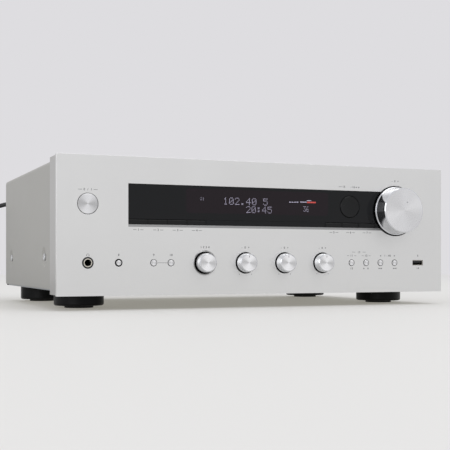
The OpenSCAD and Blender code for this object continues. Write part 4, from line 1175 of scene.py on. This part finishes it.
@dataclass
class PanelSigns:
    """Grey ink on the plate beside the controls: plain numerals, bars, arrows and dots."""

    panel: FrontPanel
    numeral_h: float = 2.1
    bar_t: float = 0.35
    arrow_r: float = 0.8
    dot_r: float = 0.4
    # The two dots under a tone knob: how far from its axis, and how far to each side of straight down
    dot_away: float = 13.5
    dot_angle: float = 30.0
    # How far over or under its control each line of signs stands
    over_power: float = 13.6
    over_knobs: float = 15.6
    over_volume: float = 32.6
    over_buttons: float = 7.6
    under_buttons: float = 6.2
    under_keys: float = 5.3
    over_window: float = 3.9
    headband_r: tuple[float, float] = (1.3, 1.0)
    ink: list[Surface] = field(default_factory=list)
    bars: list[Surface] = field(default_factory=list)
    arrows: list[Surface] = field(default_factory=list)

    def __post_init__(self) -> None:
        """Sets the heights of the signs over and under the lower row of controls."""
        self.row = middle("bass_knob")[1]
        self.over = self.row + self.over_buttons
        self.under = self.row - self.under_buttons

    def printed(self) -> Surface:
        """Prints every sign and lays them together.

        Returns:
            All the ink: numerals and dots first, then bars, then arrows.
        """
        self.power_and_keys()
        self.knobs()
        self.buttons()
        self.presets()
        self.under_row()
        self.window()
        self.headphones()
        return joined(self.ink + self.bars + self.arrows)

    def numerals(self, words: str, x: float, h: float) -> None:
        """Prints numerals centred on a place."""
        self.ink.append(text(words, x, h, self.numeral_h))

    def bar(self, x: float, h: float, width: float, height: float = 0.3) -> None:
        """Prints an upright rectangle centred on a place."""
        self.bars.append(printed(rectangle(x - width / 2, h - height / 2, x + width / 2, h + height / 2)))

    def pair(self, x: float, h: float, reach: float, width: float, height: float = 0.3) -> None:
        """Prints the same bar to the left and to the right of a place."""
        for side in (-1, 1):
            self.bar(x + side * reach, h, width, height)

    def arrow(self, x: float, h: float, way: int) -> None:
        """Prints an arrowhead that points left where way is -1, and right where it is 1."""
        r = self.arrow_r
        self.arrows.append(printed(np.array([(x - r * way, h - r), (x + r * way, h), (x - r * way, h + r)])))

    def power_and_keys(self) -> None:
        """Prints off and on over the power button, and a numeral between bars under each key."""
        x, h, _ = middle("power_button")
        self.numerals("0  /  1", x, h + self.over_power)
        self.pair(x, h + self.over_power, 7.6, 4.0, self.bar_t)
        h = self.panel.window_low - self.under_keys
        for number, node in enumerate(LEFT_KEYS + RIGHT_KEYS, 1):
            x = middle(node)[0]
            self.numerals(str(number), x, h)
            self.pair(x, h, 3.6, 3.4, self.bar_t)

    def knobs(self) -> None:
        """Prints a scale over each knob, and two dots under each tone knob where its turn ends."""
        for node in SMALL_KNOBS[1:]:
            x = middle(node)[0]
            self.numerals("-  0  +", x, self.row + self.over_knobs)
            for side in (-1, 1):
                a = math.radians(side * self.dot_angle - 90)
                dot_x, dot_h = x + self.dot_away * math.cos(a), self.row + self.dot_away * math.sin(a)
                self.ink.append(printed(circle(dot_x, dot_h, self.dot_r, 12)))
        self.numerals("1 2 3 4", middle("input_knob")[0], self.row + self.over_knobs)
        self.numerals("-  0  +", self.panel.volume_x, self.panel.volume_h + self.over_volume)

    def buttons(self) -> None:
        """Prints a numeral over each of five buttons, and bars between and beside the paired ones."""
        for number, node in enumerate(("direct_button",) + SMALL_BUTTONS[:4], 8):
            self.numerals(str(number), middle(node)[0], self.over)
        zone, zone_off, memory, tuning = (middle(node)[0] for node in SMALL_BUTTONS[:4])
        self.pair(memory, self.over, 4.4, 2.6)
        self.pair(tuning, self.over, 4.4, 2.6)
        self.bar((zone + zone_off) / 2, self.row, zone_off - zone - 8.2)
        self.pair((memory + tuning) / 2, self.over + 3.9, 6.5, 4.0)
        self.numerals("17", (memory + tuning) / 2, self.over + 3.5)

    def presets(self) -> None:
        """Prints the presets' range between an arrow over each of the two buttons that step through them."""
        down, up = (middle(node)[0] for node in SMALL_BUTTONS[4:])
        self.numerals("1 - 40", (down + up) / 2, self.over)
        self.arrow(down, self.over, -1)
        self.arrow(up, self.over, 1)

    def under_row(self) -> None:
        """Prints run, hold and skip signs under three buttons, and numerals beside them and at the socket."""
        memory, tuning, down, up = (middle(node)[0] for node in SMALL_BUTTONS[2:])
        self.arrow(tuning - 2.6, self.under, 1)
        self.bar(tuning + 1.6, self.under, 0.5, 1.6)
        self.bar(tuning + 2.8, self.under, 0.5, 1.6)
        for x, way in ((down, -1), (up, 1)):
            self.arrow(x - 1.0, self.under, way)
            self.arrow(x + 1.0, self.under, way)
            self.bar(x + 2.5 * way, self.under, 0.4, 1.6)
        self.numerals("13", memory, self.under)
        socket = middle("usb_socket")[0]
        self.numerals("5", socket, self.over)
        self.numerals("14", socket, self.under)

    def window(self) -> None:
        """Prints two numerals, two bars and two arrows over the cursor pad."""
        x = middle("cursor_pad")[0]
        h = self.panel.window_high + self.over_window
        self.arrow(x + 11.0, h, 1)
        self.arrow(x + 7.4, h, -1)
        self.bar(x + 1.2, h, 0.25, 1.8)
        self.bar(x - 12.0, h, 4.0, self.bar_t)
        self.numerals("15", x - 7.6, h)
        self.numerals("16", x + 4.2, h)

    def headphones(self) -> None:
        """Prints the headphone sign: half a ring with a bar at each end."""
        x, h = middle("headphone_jack")[0], self.over - 0.1
        outer, inner = self.headband_r
        self.ink.append(printed(np.array(arc(x, h, outer, 0, 180, 12) + arc(x, h, inner, 180, 0, 12))))
        self.pair(x, h - 0.4, (outer + inner) / 2, 0.6, 1.0)


@dataclass
class Display:
    """The smoked window with its strip, the keys, the cursor pad and what is lit behind the window."""

    panel: FrontPanel
    gap: float = 0.2
    edge: float = 0.08
    strip_edge: float = 0.05
    key_gap: float = 0.5
    key_flange_h: float = 1.3
    key_flange_t: float = 1.2
    key_front: float = 0.6
    key_r: float = 0.3
    # The keys' flanges start this far behind the plate
    behind: float = 2.6
    pad_gap: float = 0.55
    # The disc is this much smaller than the body that stands for it
    pad_inset: float = 1.2
    pad_t: float = 2.9
    pad_hub_r: float = 5.0
    dot: float = 1.06
    dot_share: float = 0.5
    lit_d: float = -0.03
    lit_t: float = 0.02
    # The film's left, low, right and high edges
    film: tuple[float, float, float, float] = (-87.0, 82.0, 74.0, 106.5)
    # Rows of dots for each numeral, top first; a lit dot is an x
    dots: dict[str, str] = field(default_factory=lambda: {
        "0": ".xxx. x...x x..xx x.x.x xx..x x...x .xxx.", "1": "..x.. .xx.. ..x.. ..x.. ..x.. ..x.. .xxx.",
        "2": ".xxx. x...x ....x ...x. ..x.. .x... xxxxx", "3": "xxxxx ...x. ..x.. ...x. ....x x...x .xxx.",
        "4": "...x. ..xx. .x.x. x..x. xxxxx ...x. ...x.", "5": "xxxxx x.... xxxx. ....x ....x x...x .xxx.",
        "6": "..xx. .x... x.... xxxx. x...x x...x .xxx.", ".": "..... ..... ..... ..... ..... .xx.. .xx..",
        ":": "..... .xx.. .xx.. ..... .xx.. .xx.. .....", " ": "..... ..... ..... ..... ..... ..... ....."})

    def __post_init__(self) -> None:
        """Reads the places of the window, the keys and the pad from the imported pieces."""
        low, high = node_box("display_window")
        self.lens_d, self.lens_t = float(low[1]), float(high[1]) - float(low[1])
        self.low, self.high = float(low[2]), float(high[2])
        self.strip_top = float(node_box("info_key")[1][2]) - self.key_flange_h + self.key_gap / 2
        self.pad_x, self.pad_h, pad_r = middle("cursor_pad")
        self.pad_r = pad_r - self.pad_inset

    def build(self) -> None:
        """Makes the window, its strip, keys, pad and lit signs."""
        self.window()
        self.strip()
        for node in LEFT_KEYS + RIGHT_KEYS:
            self.key(node)
        self.pad()
        self.light_up()
        dress("cursor_gimbal", BLACK_FRAME_ABS)
        dress("display_module", DARK_GLASS)

    def window(self) -> None:
        """Cuts the lens, hollowed round the volume knob's hole and bored for the pad, and its film."""
        low = self.strip_top + self.gap
        left = self.panel.window_x + self.gap
        h = np.linspace(low, self.high, 40)
        side = np.stack([self.panel.hole_side(h) - self.gap, h], axis=-1)
        outline = np.vstack([[(left, low)], side, [(left, self.high)]])
        bore = circle(self.pad_x, self.pad_h, self.pad_r + self.pad_gap)
        make_piece("window_lens", slab([outline, bore], self.lens_d, self.lens_t, self.edge), SMOKED_ACRYLIC,
                   replaces=("display_window",))
        film = slab([rectangle(*self.film, 3.0)], self.lens_d - self.lit_t / 2, self.lit_t)
        make_piece("filter_film", film, FILTER_FILM, outward=False)

    def strip(self) -> None:
        """Cuts the strip under the lens: a piece between the keys, and one from them to the volume knob."""
        left = float(node_box("info_key")[1][0]) + self.key_gap / 2 + self.gap
        right = float(node_box("setup_key")[0][0]) - self.key_gap / 2 - self.gap
        between = rectangle(left, self.low, right, self.strip_top, 0.2)
        left = float(node_box("return_key")[1][0]) + self.gap
        h = np.linspace(self.low, self.strip_top, 6)
        corner = np.vstack([[(left, self.low)], np.stack([self.panel.hole_side(h) - 0.3, h], axis=-1),
                            [(left, self.strip_top)]])
        pieces = [slab([loop], self.lens_d, self.lens_t, self.strip_edge) for loop in (between, corner)]
        make_piece("window_strip", joined(pieces), SMOKED_ACRYLIC)

    def key(self, node: str) -> None:
        """Makes one bar key with round edges, and its flange, on its own body.

        Args:
            node: The key.
        """
        low, high = node_box(node)
        left, right = float(low[0]), float(high[0])
        inset = self.key_flange_h + self.key_gap / 2
        bar = rectangle(left, float(low[2]) + inset, right, float(high[2]) - inset, self.key_r)
        flange = rectangle(left, float(low[2]), right, float(high[2]), self.key_r)
        cap = (slab([bar], self.key_front, PANEL_T + 2.0, self.key_r)
               + slab([flange], PANEL_T + self.behind, self.key_flange_t, 0.1))
        make_piece(node + "_cap", cap, BLACK_KEY_ABS, body=node, replaces=(node,))

    def pad(self) -> None:
        """Turns the cursor pad: a rim, a shallow dish and a hub behind."""
        low, high = node_box("cursor_pad")
        front, end, r = float(low[1]), float(high[1]), self.pad_r
        back = front + self.pad_t
        profile = [(0.0, front + 0.8), (r - 5.0, front + 0.62), (r - 2.4, front + 0.25)]
        profile += arc(r - 0.8, front + 0.8, 0.8, -110, 0, 6)
        profile += [(r, back), (self.pad_hub_r, back), (self.pad_hub_r, end), (0.0, end)]
        make_piece("cursor_disc", lathe(profile, self.pad_x, self.pad_h), BLACK_KEY_ABS, body="cursor_pad",
                   replaces=("cursor_pad",))

    def numerals(self, line: str, x: float, h: float, dot: float, tall: float = 1.0) -> Surface:
        """Lights a line of dotted numerals: six dot widths a place, five dots wide and seven high.

        Args:
            line: The numerals.
            x: Left edge.
            h: Top edge.
            dot: Spacing of the dots across.
            tall: Spacing of the dots upwards, as a share of the spacing across.

        Returns:
            One tile for each lit dot.
        """
        places = [(x + (6 * i + column + 0.5) * dot, h - (row + 0.5) * dot * tall)
                  for i, sign in enumerate(line)
                  for row, cells in enumerate(self.dots[sign].split())
                  for column, cell in enumerate(cells) if cell == "x"]
        size = self.dot_share * dot
        return tiles(np.array(places), size, size * tall, self.lens_d + self.lit_d, 0.75 * self.lit_t)

    def bars(self, x: float, h: float, step: float, count: int, width: float, height: float) -> Surface:
        """Lights a row of bars at x, x plus a step and so on, all at one height."""
        places = np.array([(x + step * i, h) for i in range(count)])
        return tiles(places, width, height, self.lens_d + self.lit_d, self.lit_t)

    def light_up(self) -> None:
        """Lights two lines of numerals, a level, small flags and a red bar behind the window."""
        flags = np.array([(28.9, 95.5), (31.7, 95.5), (34.8, 95.6), (37.6, 95.7)])
        white = [self.numerals("102.40 5", -46.7, 98.6, self.dot),
                 self.numerals("20:45", -21.3, 90.2, 0.95 * self.dot),
                 self.numerals("36", 44.4, 91.6, 0.6, 1.4),
                 self.numerals("2", -71.7, 98.0, 0.42), self.numerals("1", -69.4, 98.0, 0.42),
                 tiles(flags, 2.2, 0.55, self.lens_d + self.lit_d, self.lit_t),
                 self.bars(41.4, 95.9, 1.3, 6, 0.8, 0.9), self.bars(49.2, 97.6, 1.4, 4, 1.0, 0.7)]
        make_piece("lit_signs", joined(white), LIT_WHITE, outward=False)
        make_piece("lit_bar", self.bars(50.0, 95.8, 2.1, 5, 1.9, 1.5), LIT_RED,
                   outward=False)


@dataclass
class Knob:
    """A turned knob: a spun face, polished sides that widen towards the panel, and a collar on some."""

    node: str
    face_r: float = 8.6
    chamfer: float = 0.55
    collar: float = 0.0
    pointer: bool = True
    base_step: float = 1.2
    back: float = 4.0
    wall: float = 1.8
    boss_r: float = 5.2
    # Painted light and shade of the spun face: where its painted fans are brightest, how dark the dark ones
    # are, and the brightest share
    brightest: float = 84.0
    fan_depth: float = 0.8
    fan_most: float = 1.0

    def profile(self, front: float, base_r: float) -> list[tuple[float, float]]:
        """Draws the turned profile: dished face, chamfer, waist, collar, and the hollow back with its boss.

        Args:
            front: Depth of the face.
            base_r: Radius where the knob meets the panel.

        Returns:
            Radius and depth pairs from the middle of the face round to the middle of the back.
        """
        face, side = self.face_r, self.face_r + self.chamfer
        points = [(0.0, front + 0.12), (0.1, front + 0.12), (face - 1.0, front + 0.02), (face - 0.5, front),
                  (face, front + 0.05), (side, front + self.chamfer),
                  (side + 0.12, front + self.chamfer + 0.4)]
        if self.collar:
            foot = -self.collar
            points += [(base_r - 0.75, foot - 1.2), (base_r - 1.15, foot - 0.8),
                       (base_r - self.base_step, foot - 0.2)]
            points += arc(base_r - 0.45, foot + 0.45, 0.45, -110, 0, 5)
        inner = base_r - self.wall
        return points + [(base_r, 0.0), (base_r, self.back - 0.3), (base_r - 0.3, self.back),
                         (inner, self.back), (inner, 1.0), (self.boss_r, 1.0), (self.boss_r, self.back),
                         (0.0, self.back)]

    def build(self) -> None:
        """Makes the knob on its own body."""
        x, h, base_r = middle(self.node)
        front = float(node_box(self.node)[0][1])
        piece = make_piece(self.node + "_body", lathe(self.profile(front, base_r), x, h, 128),
                           POLISHED_ALUMINIUM, body=self.node, replaces=(self.node,),
                           smooth=24.0)
        centres = vectors(piece.data.polygons, "center") / MM - (x, FRONT_Y, h + LIFT)
        away = np.hypot(centres[:, 0], centres[:, 2])
        second_finish(piece, SPUN_ALUMINIUM_PAINTED_FANS, (away < self.face_r - 0.4) & (centres[:, 1] < front + 0.3))
        # Paints fans of light and shade into the spun face's colour
        spin(piece, x, h, self.brightest, self.fan_depth, self.fan_most)
        if self.pointer:
            line = rectangle(x - 0.25, h + self.face_r - 3.2, x + 0.25, h + self.face_r - 1.2, 0.2)
            mark = slab([line], front - 0.02, 0.05)
        else:
            mark = slab([circle(x + 3.9, h + 8.7, 0.55, 24)], front + 0.02, 0.06)
        make_piece(self.node + "_mark", mark, GREY_INK, body=self.node, outward=False)


@dataclass
class Button:
    """A round push button: a spun face with a rounded rim, and its flange behind the frame."""

    node: str
    edge: float = 0.3
    flange: float = 1.6
    # The flange's front and rear face, behind the plate, and the radius of the stem behind it
    flange_d: tuple[float, float] = (2.6, 3.8)
    stem_r: float = 1.5
    sunk: float = 0.0
    # Painted light and shade of the spun face: where its painted fans are brightest, how dark the dark ones
    # are, and the brightest share
    brightest: float = 84.0
    fan_depth: float = 0.7
    fan_most: float = 0.75

    def build(self) -> None:
        """Makes the button on its own body."""
        x, h, half = middle(self.node)
        low, high = node_box(self.node)
        r, rim = half - self.flange, half - self.flange - self.edge
        front, end = float(low[1]) + self.sunk, float(high[1])
        near, far = PANEL_T + self.flange_d[0], PANEL_T + self.flange_d[1]
        profile = [(0.0, front + 0.05), (0.05, front + 0.05), (rim - 0.15, front)]
        profile += arc(rim, front + self.edge, self.edge, -90, 0, 4)
        profile += [(r, near), (half, near), (half, far), (self.stem_r, far), (self.stem_r, end), (0.0, end)]
        cap = make_piece(self.node + "_cap", lathe(profile, x, h, 72), SPUN_ALUMINIUM_PAINTED_FANS, body=self.node,
                         replaces=(self.node,), smooth=24.0)
        # Paints fans of light and shade into the cap's colour
        spin(cap, x, h, self.brightest, self.fan_depth, self.fan_most)


# ---- Sockets, screws and the rear ----


@dataclass
class FrontSockets:
    """The headphone jack's rim and the serial-bus socket's shell and tongue."""

    bore_r: float = 3.25
    rim_w: float = 1.0
    shell_t: float = 0.4
    tongue_gap: float = 1.2
    back_t: float = 7.9

    def build(self) -> None:
        """Makes the pieces of both sockets."""
        x, h, _ = middle("headphone_jack")
        front = float(node_box("headphone_jack")[0][1])
        dress("headphone_jack", BLACK_FRAME_ABS)
        inner, outer = self.bore_r, self.bore_r + self.rim_w
        rim = [(inner, front + 0.8), (inner, front + 0.05), (inner + 0.15, front - 0.1),
               (outer - 0.2, front - 0.1), (outer, front + 0.1), (outer, front + 0.8)]
        make_piece("jack_rim", lathe(rim, x, h, 64, closed=True), WARM_NICKEL)
        (left, near, low), (right, far, high) = (corner.tolist() for corner in node_box("usb_socket"))
        wall, gap = self.shell_t, self.tongue_gap
        hollow = (left + wall, low + wall, right - wall, high - wall)
        loops = [rectangle(left, low, right, high, 0.5), rectangle(*hollow, 0.3)]
        shell = slab(loops, near, far - near, 0.08)
        make_piece("usb_shell", shell, NICKEL_PLATE, replaces=("usb_socket",))
        tongue = rectangle(left + gap, (low + high) / 2 + 0.3, right - gap, high - wall - 0.3)
        back = slab([rectangle(*hollow)], far - 8.0, self.back_t)
        inside = slab([tongue], near + 1.5, far - near - 2.0) + back
        make_piece("usb_tongue", inside, BLACK_POLYAMIDE)


@dataclass
class Screws:
    """Pan-head screws with a cross recess: bright ones in the cover's dishes, black ones in its rear lip."""

    head_r: float = 3.6
    head_t: float = 1.8
    head_edge: float = 0.45
    recess_t: float = 1.1
    # Half the width of an arm of the cross, and its reach
    arm: float = 0.5
    reach: float = 2.1
    thread_r: float = 1.5
    length: float = 5.0
    side_d: tuple[float, float] = (61.0, 253.0)
    side_h: float = 37.7
    lip_x: tuple[float, float, float] = (-150.0, 0.0, 150.0)

    def build(self) -> None:
        """Makes both sets of screws: those of the sides face outwards, and those of the lip to the rear."""
        _, high = node_box("screws")
        screw = self.screw()
        across, depth, rise = screw.points.T
        sides = [np.stack([way * (float(high[0]) - depth), d + across, self.side_h + rise], axis=-1)
                 for d in self.side_d for way in (-1, 1)]
        lip_h = float(high[2]) - self.head_r
        lip = [np.stack([x + across, float(high[1]) - depth, lip_h + rise], axis=-1) for x in self.lip_x]
        make_piece("side_screws", joined(Surface(place(points), screw.faces) for points in sides), ZINC_PLATE,
                   replaces=("screws",), flat=2.0)
        make_piece("lip_screws", joined(Surface(place(points), screw.faces) for points in lip), BLACK_STEEL,
                   flat=2.0)

    def screw(self) -> Surface:
        """Makes one screw, its head to the front. Its cross is one arm turned four times.

        Returns:
            The screw as plain x, d, h.
        """
        arm, reach = self.arm, self.reach
        quarter = [(arm, arm), (arm, reach), (-arm, reach), (-arm, arm)]
        cross = np.array([(c * x - s * y, s * x + c * y)
                          for c, s in ((1, 0), (0, 1), (-1, 0), (0, -1)) for x, y in quarter])
        head = slab([circle(0, 0, self.head_r, 40), cross], 0.0, self.head_t, self.head_edge, place_it=False)
        floor = slab([circle(0, 0, self.head_r - 0.8, 24)], self.recess_t, 0.6, place_it=False)
        thread = slab([circle(0, 0, self.thread_r, 16)], self.head_t - 0.1, self.length, place_it=False)
        return joined([head, floor, thread])


@dataclass
class RearTerminals:
    """The speaker posts on their moulded plate, and the coloured insulators of the line jacks."""

    plate_edge: float = 14.0
    plate_t: float = 3.0
    # The caps start this far behind the plate
    cap_gap: float = 1.15
    post_r: float = 3.2
    bore_r: float = 2.05
    bore_l: float = 17.0
    washer_r: float = 5.0
    washer_t: float = 0.7
    washer_gap: float = 0.05
    nut_r: float = 5.7
    # Where the nut inside starts and ends, from the post's inner end
    nut_d: tuple[float, float] = (1.0, 5.9)
    insert_r: tuple[float, float] = (1.65, 3.2)
    jack_x: float = -34.0
    jack_pitch: float = 18.0
    jack_count: int = 9
    jack_h: tuple[float, float] = (34.0, 52.0)
    coax: tuple[float, float] = (146.0, 76.0)

    def build(self) -> None:
        """Makes the plate, the posts and the insulators."""
        places = [middle(f"post_cap_{i}")[:2] for i in range(1, 9)]
        plate_d = float(node_box("post_cap_1")[0][1]) - self.cap_gap - self.plate_t
        (left, low), (right, high) = (edge(places, axis=0) for edge in (np.min, np.max))
        edge = self.plate_edge
        outline = rectangle(left - edge, low - edge, right + edge, high + edge, 3.0)
        holes = [circle(x, h, self.post_r + 0.1, 32) for x, h in places]
        make_piece("terminal_plate", slab([outline] + holes, plate_d, self.plate_t, 0.5), BLACK_POLYAMIDE,
                   replaces=("speaker_terminals",))
        profile = self.post(plate_d + self.plate_t + self.washer_gap)
        make_piece("speaker_posts", joined(lathe(profile, x, h, 40) for x, h in places), FLASHED_BRASS)
        face = float(node_box("line_jacks")[1][1]) + 0.02
        back = face - 0.52
        inner, outer = self.insert_r
        ring = [(inner, face), (outer, face), (outer, back), (inner, back)]
        columns = [self.jack_x + i * self.jack_pitch for i in range(self.jack_count)]
        for name, spots, finish in (
            ("red_inserts", [(x, self.jack_h[0]) for x in columns], RED_INSERT),
            ("white_inserts", [(x, self.jack_h[1]) for x in columns], WHITE_INSERT),
            ("digital_insert", [self.coax], ORANGE_INSERT),
        ):
            make_piece(name, joined(lathe(ring, x, h, 32, closed=True) for x, h in spots), finish)

    def post(self, washer: float) -> list[tuple[float, float]]:
        """Draws the profile of a post with its inner nut, its washer and the bore in its outer end.

        Args:
            washer: Depth where the washer starts.

        Returns:
            Radius and depth pairs from the middle of the inner end to the middle of the bore's floor.
        """
        low, high = node_box("speaker_terminals")
        start, end, r, bore = float(low[1]), float(high[1]), self.post_r, self.bore_r
        profile = [(0.0, start), (r, start)]
        for near, far, wide in ((start + self.nut_d[0], start + self.nut_d[1], self.nut_r),
                                (washer, washer + self.washer_t, self.washer_r)):
            profile += [(r, near), (wide, near), (wide, far), (r, far)]
        return profile + [(r, end - 0.4), (r - 0.4, end), (bore + 0.3, end), (bore, end - 0.3),
                          (bore, end - self.bore_l), (0.0, end - self.bore_l)]


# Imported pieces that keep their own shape
PACKED_FINISHES = {
    "top_cover": SILVER_PAINT, "chassis_base": GALVANISED_STEEL, "rear_panel": BLACK_POWDER_COAT,
    "feet": FOOT_ABS, "foot_pads": FOAM_RUBBER, "power_transformer": VARNISHED_STEEL,
    "heat_sink": PLAIN_EXTRUSION, "output_transistors": EPOXY, "amplifier_board": SOLDER_MASK,
    "filter_capacitors": SHRUNK_SLEEVE, "input_board": SOLDER_MASK, "control_board": SOLDER_MASK,
    "rotary_controls": NICKEL_PLATE, "line_jacks": NICKEL_PLATE, "lan_socket": BLACK_POLYAMIDE,
    "aerial_socket": NICKEL_PLATE, "cord_grommet": VINYL_SHEATH,
} | {f"post_cap_{i}": BLACK_CAP if i % 2 else RED_CAP for i in range(1, 9)}


def main() -> None:
    """Builds the receiver piece by piece and the studio round it."""
    logging.basicConfig(level=logging.INFO, format="%(message)s")
    Studio().build()
    MainsLead().build()
    panel = FrontPanel()
    panel.build()
    Display(panel).build()
    # The spun faces of the knobs and buttons carry painted fans of light and shade
    Knob("volume_knob", face_r=23.5, chamfer=0.7, collar=2.4, pointer=False, brightest=58.0, fan_depth=0.18,
         fan_most=0.6).build()
    for node in SMALL_KNOBS:
        Knob(node, pointer=node != "input_knob").build()
    for node in SMALL_BUTTONS:
        Button(node, sunk=0.4).build()
    Button("power_button", fan_depth=1.0, fan_most=0.68).build()
    Button("direct_button").build()
    FrontSockets().build()
    Screws().build()
    RearTerminals().build()
    for node, finish in PACKED_FINISHES.items():
        dress(node, finish)


if __name__ == "__main__":
    main()
